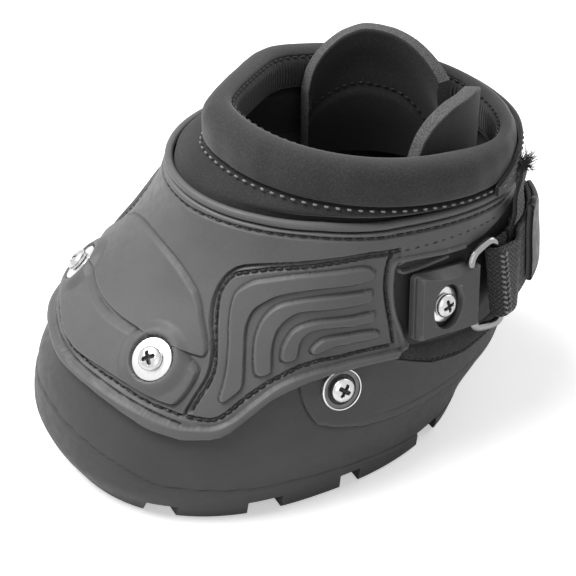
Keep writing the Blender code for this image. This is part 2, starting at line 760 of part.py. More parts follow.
def pad_solid(rubber):
    """The raised pad over the toe, with a round seat for each front washer."""
    angles = spread(-PAD_HALF_ANGLE, PAD_HALF_ANGLE, COLUMN_STEP)
    pad = layer(
        "screw_pad", rubber, angles,
        lambda angle: PAD_LOWER,
        lambda angle: PAD_UPPER,
        lambda angle, height: TOUCH_GAP + GAITER_THICKNESS / 2,
        lambda angle, height: TOUCH_GAP + GAITER_THICKNESS + PAD_RAISE,
        rows=3,
    )
    for side in (-1, 1):
        frame = wall_frame(side * FRONT_SCREW_ANGLE, FRONT_SCREW_HEIGHT, washer_seat())
        cut_away(pad, hole_cutter(f"washer_seat_{side}", frame, WASHER_SEAT_RADIUS, 0.0, rubber))
    return pad


def make_gaiter():
    """The moulded upper with its pad and ribs."""
    rubber = material("gaiter_rubber", RUBBER, 0.5)
    gaiter = gaiter_solid(rubber)
    cut_away(gaiter, pad_solid(rubber), "UNION")
    for side in (-1, 1):
        for number in range(len(RIB_WIDTHS)):
            cut_away(gaiter, rib_solid(number, side, rubber), "UNION")
    return gaiter


def make_piping():
    """The rolled bead along the gaiter's top edge."""
    rubber = material("piping_rubber", RUBBER, 0.45)
    angles = spread(-GAITER_END, GAITER_END, COLUMN_STEP)
    middle = TOUCH_GAP + GAITER_THICKNESS / 2
    columns = []
    for angle in angles:
        height = edge_height(GAITER_UPPER, angle) + TOUCH_GAP + PIPING_RADIUS
        column = []
        for i in range(PIPING_SIDES):
            turn = 2 * math.pi * (i + 0.5) / PIPING_SIDES
            out = middle + PIPING_RADIUS * math.cos(turn)
            column.append(wall_point(angle, height + PIPING_RADIUS * math.sin(turn), out))
        columns.append(column)
    return sheet_solid("gaiter_piping", columns, rubber)


def make_binding():
    """The ribbed elastic strip between the counter and the gaiter."""
    elastic = material("binding_elastic", SOFT, 0.85)
    angles = spread(BINDING_START, 360 - BINDING_START, COLUMN_STEP)
    return layer(
        "heel_binding", elastic, angles,
        lambda angle: edge_height(COUNTER_UPPER, fold(angle)) + TOUCH_GAP,
        lambda angle: edge_height(GAITER_LOWER, fold(angle)) - TOUCH_GAP,
        lambda angle, height: -BINDING_THICKNESS,
        lambda angle, height: 0.0,
        rows=3,
    )


# The collar


def collar_columns(angle):
    """One column of the sleeve: up its outer face to the seam, and down its inner one."""
    high = edge_height(GAITER_UPPER, angle) + 2 * PIPING_RADIUS + 2 * TOUCH_GAP
    low = edge_height(COLLAR_LOWER, angle)
    under = edge_height(GAITER_UPPER, angle) - TOUCH_GAP
    levels = [low, (low + under) / 2, under]
    outer = [wall_point(angle, level, -TOUCH_GAP) for level in levels]
    inner = [wall_point(angle, level, -TOUCH_GAP - COLLAR_THICKNESS) for level in levels]
    start = wall_point(angle, high, -TOUCH_GAP)
    end = seam_point(angle)
    for share in (0.0, 0.5, 1.0):
        bulge = COLLAR_BULGE * math.sin(math.pi * share)
        point = start.lerp(end, share)
        away = Vector((math.sin(math.radians(angle)), -math.cos(math.radians(angle)), 0.0))
        outer.append(point + away * bulge)
        inner.append(point - away * COLLAR_THICKNESS)
    return outer + inner[::-1]


def make_collar_band():
    """The neoprene sleeve that carries the roll."""
    neoprene = material("collar_neoprene", SOFT, 0.9)
    angles = spread(-180, 180, COLUMN_STEP, both_sides(COLLAR_LOWER))[:-1]
    return sheet_solid("collar_band", [collar_columns(angle) for angle in angles], neoprene, closed=True)


def roll_thickness(angle):
    """The roll's thickness: full at the front and the sides, slimmer round the heel."""
    slimmed = ramp(abs(angle), ROLL_SLIM_START, ROLL_SLIM_END)
    return ROLL_THICKNESS - (ROLL_THICKNESS - ROLL_BACK_THICKNESS) * slimmed


def roll_section(angle):
    """The roll's section: a full crown, drawn in at the seam."""
    column = []
    for i in range(ROLL_SIDES):
        turn = 2 * math.pi * i / ROLL_SIDES
        across = signed_power(math.cos(turn), 2 / ROLL_POWER)
        upward = signed_power(math.sin(turn), 2 / ROLL_POWER)
        inward = roll_thickness(angle) / 2 * (1 - across)
        rise = TOUCH_GAP + ROLL_RISE / 2 * (1 + upward)
        column.append(seam_point(angle, inward, rise))
    return column


def make_collar_roll():
    """The padded roll round the top opening."""
    neoprene = material("roll_neoprene", SOFT, 0.9)
    angles = spread(-180, 180, COLUMN_STEP)[:-1]
    return sheet_solid("collar_roll", [roll_section(angle) for angle in angles], neoprene, closed=True)


def inner_wall_point(angle, height, offset):
    """A point inside the collar, the given distance in from the roll's inner face."""
    point = seam_point(angle, ROLL_THICKNESS + offset)
    return Vector((point.x, point.y, height))


def make_flap(name, table):
    """A foam flap that stands inside the collar."""
    foam = material(name + "_foam", FOAM, 0.95)
    angles = spread(table[0][0], table[-1][0], COLUMN_STEP, [angle for angle, _ in table])

    def upper(angle):
        return smooth_value([mark for mark, _ in table], [top for _, top in table], angle)

    return layer(
        name, foam, angles,
        lambda angle: FLAP_BOTTOM, upper,
        lambda angle, height: FLAP_GAP + FLAP_THICKNESS,
        lambda angle, height: FLAP_GAP,
        rows=4, place=inner_wall_point,
    )


def make_flaps():
    """The two flaps, on the line at their foot that they fold about."""
    heel_flap = make_flap("heel_flap", HEEL_FLAP_TOP)
    side_flap = make_flap("side_flap", SIDE_FLAP_TOP)
    foot = Matrix.Translation((0.0, FLAP_FOLD_PLACE + FRAME_SHIFT_Y, FLAP_BOTTOM))
    pivot("flap_fold", foot, [heel_flap, side_flap])


def make_closure_flap():
    """The collar's overlapping end, outside the roll at the heel."""
    neoprene = material("closure_neoprene", SOFT, 0.85)
    start, end = CLOSURE_TOP[0][0], CLOSURE_TOP[-1][0]
    angles = spread(start, end, COLUMN_STEP, [angle for angle, _ in CLOSURE_TOP])
    columns = []
    for angle in angles:
        rise = smooth_value(CLOSURE_TOP_ANGLES, CLOSURE_TOP_HEIGHTS, angle)
        levels = [-CLOSURE_DROP + (rise + CLOSURE_DROP) * i / 4 for i in range(5)]
        column = [seam_point(angle, -CLOSURE_GAP - CLOSURE_THICKNESS, level) for level in levels]
        column += [seam_point(angle, -CLOSURE_GAP, level) for level in reversed(levels)]
        columns.append(column)
    return sheet_solid("closure_flap", columns, neoprene)


# The fasteners


def washer(name, frame, radius=WASHER_RADIUS):
    """A flat washer on the frame's base."""
    hole = SCREW_RADIUS + HOLE_GAP
    profile = [(hole, 0.0), (radius, 0.0), (radius, WASHER_THICKNESS), (hole, WASHER_THICKNESS)]
    return turned(name, profile, frame, material(name + "_steel", STEEL, 0.25, 1.0), closed_profile=True)


def screw(name, frame, seat, length):
    """A pan-head screw whose head rests at the seat height."""
    profile = [
        (0.0, seat + HEAD_HEIGHT), (HEAD_RADIUS * HEAD_CROWN_SHARE, seat + HEAD_HEIGHT * HEAD_SHOULDER_SHARE),
        (HEAD_RADIUS, seat + HEAD_HEIGHT * HEAD_RIM_SHARE), (HEAD_RADIUS, seat),
        (SCREW_RADIUS, seat), (SCREW_RADIUS, -length), (0.0, -length),
    ]
    return turned(name, profile, frame, material(name + "_steel", STEEL, 0.22, 1.0))


def nut(name, frame, top, barrel):
    """A flanged nut inside the boot, whose barrel stands into the wall above its flange."""
    bore = SCREW_RADIUS + HOLE_GAP
    flange = top - NUT_FLANGE_THICKNESS
    profile = [
        (bore, top + barrel), (NUT_BARREL_RADIUS, top + barrel),
        (NUT_BARREL_RADIUS, top), (NUT_FLANGE_RADIUS, top), (NUT_FLANGE_RADIUS, flange), (bore, flange),
    ]
    return turned(name, profile, frame, material(name + "_steel", STEEL, 0.35, 1.0), closed_profile=True)


def lifted(frame, height):
    """The same frame, moved out of the wall."""
    return frame @ Matrix.Translation((0, 0, height))


def piece_name(place, kind, side):
    """The name of one fastener piece, with its side where there are two."""
    return f"{place}_{kind}_{side}" if side else f"{place}_{kind}"


def fasten(place, side, angle, height, seat, depth, barrel, layers, washer_radius=WASHER_RADIUS):
    """A washer, a screw and a nut through the given layers, from the seat to the depth inside."""
    frame = wall_frame(angle, height, 0.0)
    rubber = layers[0].data.materials[0]
    top = -depth + NUT_SINK - TOUCH_GAP
    washer(piece_name(place, "washer", side), lifted(frame, seat + TOUCH_GAP), washer_radius)
    head_seat = seat + 2 * TOUCH_GAP + WASHER_THICKNESS
    screw(piece_name(place, "screw", side), frame, head_seat, NUT_FLANGE_THICKNESS - top)
    nut(piece_name(place, "nut", side), frame, top, barrel)
    for piece in layers[:-1]:
        hole = hole_cutter(piece_name(place, "screw_hole", side), lifted(frame, seat), SCREW_RADIUS + HOLE_GAP,
                           seat + depth + CUT_OVERRUN, rubber)
        cut_away(piece, hole)
    stepped = turned(piece_name(place, "nut_hole", side), nut_hole_profile(seat, top, barrel), frame, rubber)
    cut_away(layers[-1], stepped)


def nut_hole_profile(seat, top, barrel):
    """A stepped hole: clear of the screw, then of the nut's barrel, then a flat for its flange."""
    clear = SCREW_RADIUS + HOLE_GAP
    socket = NUT_BARREL_RADIUS + HOLE_GAP
    return [
        (0.0, seat + CUT_OVERRUN), (clear, seat + CUT_OVERRUN), (clear, top + barrel + TOUCH_GAP),
        (socket, top + barrel + TOUCH_GAP), (socket, top + TOUCH_GAP), (NUT_PAD_RADIUS, top + TOUCH_GAP),
        (NUT_PAD_RADIUS, top - CUT_OVERRUN), (0.0, top - CUT_OVERRUN),
    ]


def make_front_fasteners(shell, gaiter):
    """The two toe screws, whose washers lie in the seats of the raised pad."""
    for side, angle in (("right", FRONT_SCREW_ANGLE), ("left", -FRONT_SCREW_ANGLE)):
        fasten("front", side, angle, FRONT_SCREW_HEIGHT, washer_seat(), SHELL_WALL, SHELL_NUT_BARREL,
               [gaiter, shell])


def make_rear_fasteners(shell, counter):
    """The two screws that hold the heel counter to the shell."""
    barrel = SHELL_WALL - COUNTER_THICKNESS - NUT_SINK - 3 * TOUCH_GAP
    for side, angle in (("right", REAR_SCREW_ANGLE), ("left", -REAR_SCREW_ANGLE)):
        fasten("rear", side, angle, REAR_SCREW_HEIGHT, 0.0, SHELL_WALL, barrel, [counter, shell])


# The bracket and its ring


def recess_face():
    """How far the gaiter's sunk face stands off the wall, under the bracket."""
    return TOUCH_GAP + GAITER_THICKNESS - RECESS_DEPTH


def bracket_frame():
    """The bracket's frame: X to the heel, Y up the wall, Z along its screw."""
    frame = wall_frame(BRACKET_ANGLE, BRACKET_PLACE, 0.0)
    return lifted(frame, recess_face() + TOUCH_GAP)


def barrel_radius():
    """The outside of the fold round the ring's near bar."""
    return WIRE_RADIUS + BAR_CLEARANCE + BARREL_WALL


def bracket_block(rubber):
    """The folded plate, seen along the wall: thin at its nose, full at the fold."""
    radius = barrel_radius()
    section = [(-BRACKET_AHEAD, 0.0), (-BRACKET_AHEAD, BRACKET_NOSE), (NEAR_BAR_PLACE, 2 * radius)]
    for i in range(1, 6):
        turn = math.radians(90 - 180 * i / 6)
        section.append((NEAR_BAR_PLACE + radius * math.cos(turn), radius + radius * math.sin(turn)))
    section.append((NEAR_BAR_PLACE, 0.0))
    mesh_data = bmesh.new()
    half = BRACKET_HEIGHT / 2
    low = [mesh_data.verts.new((x, -half, z)) for x, z in section]
    high = [mesh_data.verts.new((x, half, z)) for x, z in section]
    quad_strip(mesh_data, low, high, closed=True)
    mesh_data.faces.new(low)
    mesh_data.faces.new(list(reversed(high)))
    return object_from("strap_bracket", mesh_data, rubber)


def access_cutter(frame, rubber):
    """The oval opening that the screwdriver goes through."""
    mesh_data = bmesh.new()
    count = 24
    rings = []
    for height in (BRACKET_WEB, 2 * barrel_radius() + CUT_OVERRUN):
        ring = []
        for i in range(count):
            turn = 2 * math.pi * i / count
            ring.append(mesh_data.verts.new((ACCESS_LENGTH / 2 * math.cos(turn),
                                             ACCESS_HEIGHT / 2 * math.sin(turn), height)))
        rings.append(ring)
    quad_strip(mesh_data, rings[0], rings[1], closed=True)
    mesh_data.faces.new(rings[0])
    mesh_data.faces.new(list(reversed(rings[1])))
    cutter = object_from("access_opening", mesh_data, rubber)
    cutter.matrix_world = frame
    return cutter


def make_bracket(gaiter):
    """The bracket, its washer, its screw and the nut inside the gaiter."""
    rubber = material("bracket_rubber", RUBBER, 0.5)
    frame = bracket_frame()
    bracket = bracket_block(rubber)
    bracket.matrix_world = frame
    edge = bracket.modifiers.new("soft_edges", "BEVEL")
    edge.width = BRACKET_BEVEL
    edge.segments = 2
    edge.limit_method = "ANGLE"
    edge.angle_limit = math.radians(50)
    cut_away(bracket, access_cutter(frame, rubber))
    across = Matrix.Translation((NEAR_BAR_PLACE, 0, barrel_radius())) @ Matrix.Rotation(math.pi / 2, 4, "X")
    half = BRACKET_HEIGHT / 2
    bore = hole_cutter("near_bar_bore", frame @ across, WIRE_RADIUS + BAR_CLEARANCE, half + CUT_OVERRUN, rubber,
                       rise=half + CUT_OVERRUN)
    cut_away(bracket, bore)
    seat = recess_face() + TOUCH_GAP + BRACKET_WEB
    fasten("bracket", "", BRACKET_ANGLE, BRACKET_PLACE, seat, -TOUCH_GAP, GAITER_NUT_BARREL,
           [bracket, gaiter], BRACKET_WASHER_RADIUS)
    return bracket


def ring_frame():
    """The ring's frame: origin on its near bar, X to its far bar, Y along the bars."""
    bracket = bracket_frame()
    near = bracket @ Vector((NEAR_BAR_PLACE, 0, barrel_radius()))
    up = (bracket.to_3x3() @ Vector((0, 1, 0))).normalized()
    far = wall_point(FAR_BAR_ANGLE, STRAP_PLACE, FAR_BAR_OFFSET)
    reach = far - near
    reach -= up * reach.dot(up)
    along = reach.normalized()
    frame = Matrix((along, up, along.cross(up))).transposed().to_4x4()
    frame.translation = near
    return frame, reach.length


def wire_loop(name, outline, radius, frame, made_material):
    """A closed wire along an outline in the frame's XY plane."""
    columns = []
    count = len(outline)
    for i, (x, y) in enumerate(outline):
        before = Vector(outline[i - 1])
        after = Vector(outline[(i + 1) % count])
        into = (Vector((x, y)) - before).normalized()
        onward = (after - Vector((x, y))).normalized()
        run = (into + onward).normalized()
        side = Vector((run.y, -run.x, 0.0)) / max(0.5, run.dot(onward))
        ring = []
        for k in range(WIRE_SIDES):
            turn = 2 * math.pi * (k + 0.5) / WIRE_SIDES
            ring.append(Vector((x, y, radius * math.sin(turn))) + side * radius * math.cos(turn))
        columns.append(ring)
    wire = sheet_solid(name, columns, made_material, closed=True)
    wire.matrix_world = frame
    return wire


def make_ring():
    """The wire ring, with its origin on its near bar."""
    frame, reach = ring_frame()
    outline = rounded_outline(reach / 2, RING_HALF_HEIGHT, RING_CORNER, steps=4, centre=(reach / 2, 0.0))
    return wire_loop("strap_ring", outline, WIRE_RADIUS, frame, material("ring_steel", STEEL, 0.2, 1.0))


# The strap


def strap_edge(angle, offset):
    """The lower and upper edge of the webbing at an angle round the heel."""
    half = WEB_WIDTH / 2
    return wall_point(angle, STRAP_PLACE - half, offset), wall_point(angle, STRAP_PLACE + half, offset)


def web_column(angle, offset, facing_out=False):
    """One cross-cut of webbing that lies on the wall, the ring's side first."""
    near, far = (offset + WEB_THICKNESS, offset) if facing_out else (offset, offset + WEB_THICKNESS)
    near_low, near_high = strap_edge(angle, near)
    far_low, far_high = strap_edge(angle, far)
    return [near_low, near_high, far_high, far_low]


def loop_column(frame, reach, turn):
    """One cross-cut of the loop round the far bar, at a turn about that bar."""
    near = WIRE_RADIUS + BAR_CLEARANCE
    far = near + WEB_THICKNESS
    half = WEB_WIDTH / 2
    column = []
    for radius, height in ((near, -half), (near, half), (far, half), (far, -half)):
        spot = Vector((reach + radius * math.cos(turn), height, radius * math.sin(turn)))
        column.append(frame @ spot)
    return column


def make_strap_tail():
    """The strap's end: in under the ring's far bar, round it and back over itself."""
    frame, reach = ring_frame()
    first = FAR_BAR_ANGLE + LOOP_LEAD
    inner = (LOOP_END, LOOP_END - LOOP_LEAD / 2)
    columns = [web_column(angle, STRAP_OFFSET, facing_out=True) for angle in inner]
    loop_turns = 10
    for i in range(loop_turns + 1):
        turn = math.radians(270 - 180 * i / loop_turns)
        columns.append(loop_column(frame, reach, turn))
    for angle in spread(first, TAIL_END, FINE_STEP):
        settle = ramp(angle, first, first + TAIL_SETTLE)
        start = FAR_BAR_OFFSET + WIRE_RADIUS + BAR_CLEARANCE
        columns.append(web_column(angle, start + (TAIL_OFFSET - start) * settle))
    webbing = material("tail_webbing", WEBBING, 0.85)
    return sheet_solid("strap_tail", columns, webbing)


def make_strap_standing(gaiter):
    """The standing strap, from under the tail round the heel to its anchor on the far side."""
    webbing = material("standing_webbing", WEBBING, 0.85)
    angles = spread(STANDING_START, 360 - ANCHOR_TAIL, COLUMN_STEP)
    strap = sheet_solid("strap_webbing", [web_column(angle, STRAP_OFFSET) for angle in angles], webbing)
    seat = STRAP_OFFSET + WEB_THICKNESS
    fasten("anchor", "", -BRACKET_ANGLE, BRACKET_PLACE, seat, -TOUCH_GAP, GAITER_NUT_BARREL, [strap, gaiter])
    return strap


def make_tab():
    """The smooth band on the strap's end, over the heel."""
    rubber = material("tab_rubber", RUBBER, 0.45)
    angles = spread(TAB_START, TAB_END, COLUMN_STEP)
    return layer(
        "strap_tab", rubber, angles,
        lambda angle: TAB_LOWER,
        lambda angle: TAB_UPPER,
        lambda angle, height: TAB_OFFSET,
        lambda angle, height: TAB_OFFSET + TAB_THICKNESS,
        rows=4,
    )


def make_strap_end():
    """The tail and its band, which peel off about the ring's far bar."""
    frame, reach = ring_frame()
    pivot("tail_hinge", frame @ Matrix.Translation((reach, 0.0, 0.0)), [make_strap_tail(), make_tab()])


def make_pull_strip():
    """The short upright strip behind the collar, with the cut end."""
    webbing = material("pull_webbing", WEBBING, 0.9)
    columns = []
    for angle in spread(PULL_START, PULL_END, FINE_STEP):
        faces = []
        for depth in (PULL_THICKNESS, 0.0):
            low = wall_point(angle, PULL_LOWER, PULL_OFFSET + depth)
            high = seam_point(angle, -PULL_STAND_OFF - depth, PULL_RISE)
            faces.append([low.lerp(high, i / 4) for i in range(5)])
        columns.append(faces[0] + faces[1][::-1])
    return sheet_solid("pull_strip", columns, webbing)


def main():
    """Build every piece of the boot."""
    clear_scene()
    shell = make_shell()
    counter = make_counter()
    gaiter = make_gaiter()
    make_piping()
    make_binding()
    make_collar_band()
    make_collar_roll()
    make_flaps()
    make_closure_flap()
    make_front_fasteners(shell, gaiter)
    make_rear_fasteners(shell, counter)
    make_bracket(gaiter)
    make_ring()
    make_strap_standing(gaiter)
    make_strap_end()
    make_pull_strip()


main()
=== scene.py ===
"""The dressed hoof boot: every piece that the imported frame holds, with its real surface and material."""

import math

import bmesh
import bpy
import numpy as np
from mathutils import Matrix, Vector


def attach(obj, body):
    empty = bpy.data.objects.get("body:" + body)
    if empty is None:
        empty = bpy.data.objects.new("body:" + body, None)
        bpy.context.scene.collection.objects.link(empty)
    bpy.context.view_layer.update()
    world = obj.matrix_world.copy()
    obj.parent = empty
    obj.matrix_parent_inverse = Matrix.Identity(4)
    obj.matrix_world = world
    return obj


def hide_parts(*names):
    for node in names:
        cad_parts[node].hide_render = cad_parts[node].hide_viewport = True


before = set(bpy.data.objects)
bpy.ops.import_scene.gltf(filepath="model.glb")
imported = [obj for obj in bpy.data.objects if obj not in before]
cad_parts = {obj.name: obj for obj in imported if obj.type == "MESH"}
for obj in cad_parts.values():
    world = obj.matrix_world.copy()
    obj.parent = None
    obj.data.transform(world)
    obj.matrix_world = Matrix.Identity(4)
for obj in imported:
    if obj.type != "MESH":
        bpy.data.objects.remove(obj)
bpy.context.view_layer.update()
MM = 0.001
GRID = 0.45

# The wall's outlines in metres, as the part's source has them.
HEIGHTS = np.array([0.0, 0.012, 0.025, 0.040, 0.055, 0.070, 0.085, 0.100])
HALF_WIDTHS = np.array([0.0596, 0.0615, 0.0632, 0.0603, 0.0554, 0.0511, 0.0477, 0.0449])
TOE_REACHES = np.array([0.0694, 0.0751, 0.0735, 0.0655, 0.0505, 0.0345, 0.0242, 0.0202])
HEEL_REACHES = np.array([0.0770, 0.0860, 0.0970, 0.1005, 0.0995, 0.0975, 0.0963, 0.0956])
WIDEST = np.array([-0.002, -0.006, -0.006, -0.002, 0.006, 0.014, 0.024, 0.032])
TAPERS = np.array([0.06, 0.10, 0.12, 0.10, 0.06, 0.03, 0.0, 0.0])
TOE_POWERS = np.array([2.35, 2.25, 2.1, 2.0, 2.0, 2.0, 2.0, 2.0])
HEEL_POWER = 2.3
SHIFT_Y = -0.0169

SEAM_LEVEL, SEAM_LEAN, SEAM_HALF = 0.1014, 0.134, 0.0515
SEAM_TOE, SEAM_HEEL, SEAM_WIDEST, SEAM_POWER, SEAM_DRAW = 0.0122, 0.0969, 0.0416, 2.1, 0.7

SHELL_TOP = [(0, 60.0), (75, 58.0), (97, 47.0), (112, 35.5), (125, 31.5), (180, 27.5)]
COUNTER_LOWER = [
    (79, 50.1), (80.6, 47.0), (82.6, 43.5), (85.6, 38.8), (89, 34.5), (92.4, 30.5), (97.8, 27.0),
    (105, 24.8), (112, 24.0), (180, 21.5),
]
COUNTER_UPPER = [(79, 60.0), (96, 60.0), (98, 49.0), (112, 38.6), (122.5, 34.5), (143, 32.0), (180, 31.0)]
GAITER_LOWER = [
    (0, 43.5), (10, 43.1), (22, 41.9), (32.5, 39.7), (41, 37.4), (53, 34.8), (58.2, 35.2), (59.8, 39.1),
    (65, 41.5), (68.6, 44.9), (73, 50.8), (76.6, 53.2), (82, 55.0), (91, 56.1), (99, 54.0), (103, 50.0),
    (106, 48.5), (115, 45.4), (129, 41.5), (150, 39.5), (180, 39.0),
]
GAITER_UPPER = [(0, 94.5), (40, 94.0), (64, 93.0), (91, 90.2), (108, 87.6), (133, 84.0), (180, 81.8)]
COLLAR_LOWER = [(0, 80.0), (126, 77.0), (140, 45.0), (180, 42.5)]


# Curves and the wall


def smooth(values, place, marks=HEIGHTS):
    """Values at places on a smooth curve through every station, with no overshoot."""
    steps = np.diff(marks)
    rises = np.diff(values) / steps
    before, after = rises[:-1], rises[1:]
    level = before * after <= 0
    total = np.where(level, 1.0, before + after)
    slopes = np.concatenate([rises[:1], np.where(level, 0.0, 2 * before * after / total), rises[-1:]])
    place = np.clip(place, marks[0], marks[-1])
    index = np.clip(np.searchsorted(marks, place, side="right") - 1, 0, len(steps) - 1)
    step = steps[index]
    t = (place - marks[index]) / step
    start = (1 + 2 * t) * (1 - t) ** 2 * values[index] + t * (1 - t) ** 2 * step * slopes[index]
    end = t * t * (3 - 2 * t) * values[index + 1] - t * t * (1 - t) * step * slopes[index + 1]
    return start + end


def spow(value, power):
    """A power that keeps the sign of its base."""
    return np.sign(value) * np.abs(value) ** power


def wall(angle, height, off=0.0):
    """Points on the wall in metres: angle 0 at the toe, 90 on +X; height and off in millimetres."""
    angle, height, off = np.broadcast_arrays(*[np.asarray(v, float) for v in (angle, height, off)])
    level, out = height * MM, off * MM
    half, toe, heel, mid, taper, power = (
        smooth(t, level) for t in (HALF_WIDTHS, TOE_REACHES, HEEL_REACHES, WIDEST, TAPERS, TOE_POWERS)
    )
    across, along = np.sin(np.radians(angle)), np.cos(np.radians(angle))
    ahead = np.clip(along, 0, None) ** (2 / power)
    back = np.clip(-along, 0, None) ** (2 / HEEL_POWER)
    front = along >= 0
    x_front = (half + out) * spow(across, 2 / power)
    x_back = (half + out) * spow(across, 2 / HEEL_POWER) * (1 - taper * back * back)
    y_front = mid - (mid + toe + out) * ahead
    y_back = mid + (heel + out - mid) * back
    return np.stack([np.where(front, x_front, x_back), np.where(front, y_front, y_back) + SHIFT_Y, level], -1)


def seam(angle, inward=0.0, rise=0.0):
    """Points of the seam ring under the roll, moved inward and up, in millimetres."""
    angle, inward, rise = np.broadcast_arrays(*[np.asarray(v, float) for v in (angle, inward, rise)])
    turn = np.radians(angle)
    drawn = (np.sin(turn) < 0) & (np.cos(turn) > 0)
    power = SEAM_POWER - np.where(drawn, SEAM_DRAW * np.abs(np.sin(2 * turn)) ** 0.75, 0.0)
    across, along = spow(np.sin(turn), 2 / power), spow(np.cos(turn), 2 / power)
    reach = np.where(along >= 0, SEAM_TOE + SEAM_WIDEST, SEAM_HEEL - SEAM_WIDEST)
    x = (SEAM_HALF - inward * MM) * across
    y = SEAM_WIDEST - (reach - inward * MM) * along
    z = SEAM_LEVEL - SEAM_LEAN * (SEAM_WIDEST - reach * along) + rise * MM
    return np.stack([x, y + SHIFT_Y, z], -1)


def turned(angle):
    """How far an angle lies from the toe, either way."""
    return np.abs((np.asarray(angle, float) + 180) % 360 - 180)


def at(table, place):
    """A table's value at places, in straight lines between its rows."""
    return np.interp(place, [a for a, _ in table], [h for _, h in table])


def edge(table, angle):
    """Height in millimetres of an edge at angles on either side."""
    return at(table, turned(angle))


def ramp(value, start, end):
    """0 at start, 1 at end, smooth between; the end may be the lower one."""
    t = np.clip((np.asarray(value, float) - start) / (end - start), 0, 1)
    return t * t * (3 - 2 * t)


def fade(value, width):
    """1 up to zero, then straight down to 0 at a width."""
    return 1 - np.clip(value / width, 0, 1)


def bell(value, middle, width):
    """A soft bump, 1 at its middle."""
    return np.exp(-((value - middle) / width) ** 2)


def unit(vectors):
    """Vectors of length one."""
    return vectors / np.maximum(np.linalg.norm(vectors, axis=-1, keepdims=True), 1e-12)


def lengths(path):
    """The length of a path up to each of its points."""
    return np.concatenate([[0], np.cumsum(np.linalg.norm(np.diff(path, axis=0), axis=1))])


def along(path, marks, places):
    """Points of a path at places along its marks."""
    return np.stack([np.interp(places, marks, path[:, k]) for k in range(path.shape[1])], 1)


def full_turn(sides):
    """Even angles round a circle."""
    return 2 * np.pi * np.arange(sides) / sides


def spread(angles, low, high, rows):
    """Angles and heights of a grid that fills the wall between two edges."""
    low, high = (np.broadcast_to(v, angles.shape)[:, None] for v in (low, high))
    height = low + (high - low) * np.linspace(0, 1, rows)
    return np.broadcast_to(angles[:, None], height.shape), height


def wall_out(angle, height):
    """Unit vectors straight out of the wall."""
    heelward = wall(angle + 0.4, height) - wall(angle - 0.4, height)
    upward = wall(angle, height + 0.6) - wall(angle, height - 0.6)
    return unit(np.cross(heelward, upward))


def away_from(angle):
    """Level unit vectors out of the boot at angles round it."""
    return np.stack([np.sin(np.radians(angle)), -np.cos(np.radians(angle)), np.zeros_like(angle)], -1)


def corners(points, closed=False):
    """A smooth dense run of angle and height pairs through the given corners."""
    points = np.asarray(points, float)
    if closed:
        points = np.vstack([points[-1:], points, points[:2]])
    else:
        points = np.vstack([2 * points[0] - points[1], points, 2 * points[-1] - points[-2]])
    run = []
    for i in range(1, len(points) - 2):
        p0, p1, p2, p3 = points[i - 1:i + 3]
        count = max(2, int(np.linalg.norm(wall(*p2) - wall(*p1)) / MM / LINE_STEP))
        t = np.linspace(0, 1, count, endpoint=False)[:, None]
        run.append(0.5 * (2 * p1 + (p2 - p0) * t + (2 * p0 - 5 * p1 + 4 * p2 - p3) * t ** 2
                          + (3 * p1 - p0 - 3 * p2 + p3) * t ** 3))
    if not closed:
        run.append(points[-2:-1])
    return np.vstack(run)


def distance(points, line):
    """Distance in millimetres from each point to a dense line on the wall."""
    flat, line = points.reshape(-1, 3) / MM, line / MM
    best = np.empty(len(flat))
    for start in range(0, len(flat), BATCH):
        part = flat[start:start + BATCH]
        square = (part ** 2).sum(1)[:, None] + (line ** 2).sum(1)[None] - 2 * part @ line.T
        best[start:start + BATCH] = np.sqrt(np.maximum(square.min(1), 0))
    return best.reshape(points.shape[:-1])


def inside(angle, height, outline):
    """Which spots lie inside a closed outline of angle and height pairs."""
    found = np.zeros(angle.shape, bool)
    for (a1, h1), (a2, h2) in zip(np.roll(outline, 1, 0), outline):
        if h1 != h2:
            crosses = (height < h1) != (height < h2)
            found ^= crosses & (angle < a1 + (a2 - a1) * (height - h1) / (h2 - h1))
    return found


# In millimetres: how close the points of a smooth line are, how far off the wall lines are measured, how far
# away a line is felt, and what counts as far. BATCH is how many spots are measured at once.
LINE_STEP, FACE, NEARBY, FAR = 0.4, 3.0, 6.0, 99.0
BATCH = 20000


class Field:
    """A patch of wall as a grid of spots, measured against lines and outlines."""

    def __init__(self, angle, height):
        self.angle, self.height = np.broadcast_arrays(np.abs(angle), height)
        self.place = wall(self.angle, self.height, FACE)

    def line(self, points, closed=False):
        """Distance to a line, below zero inside a closed one; spots far off count as far."""
        run = corners(points, closed)
        (left, low), (right, high) = run.min(0), run.max(0)
        near = ((self.angle > left - 1.5 * NEARBY) & (self.angle < right + 1.5 * NEARBY)
                & (self.height > low - NEARBY) & (self.height < high + NEARBY))
        result = np.full(self.angle.shape, FAR)
        if near.any():
            away = distance(self.place[near], wall(run[:, 0], run[:, 1], FACE))
            within = closed and inside(self.angle[near], self.height[near], run)
            result[near] = np.where(within, -away, away)
        return result

    def area(self, points):
        """Distance to an outline, below zero inside it."""
        return self.line(points, closed=True)


# Meshes


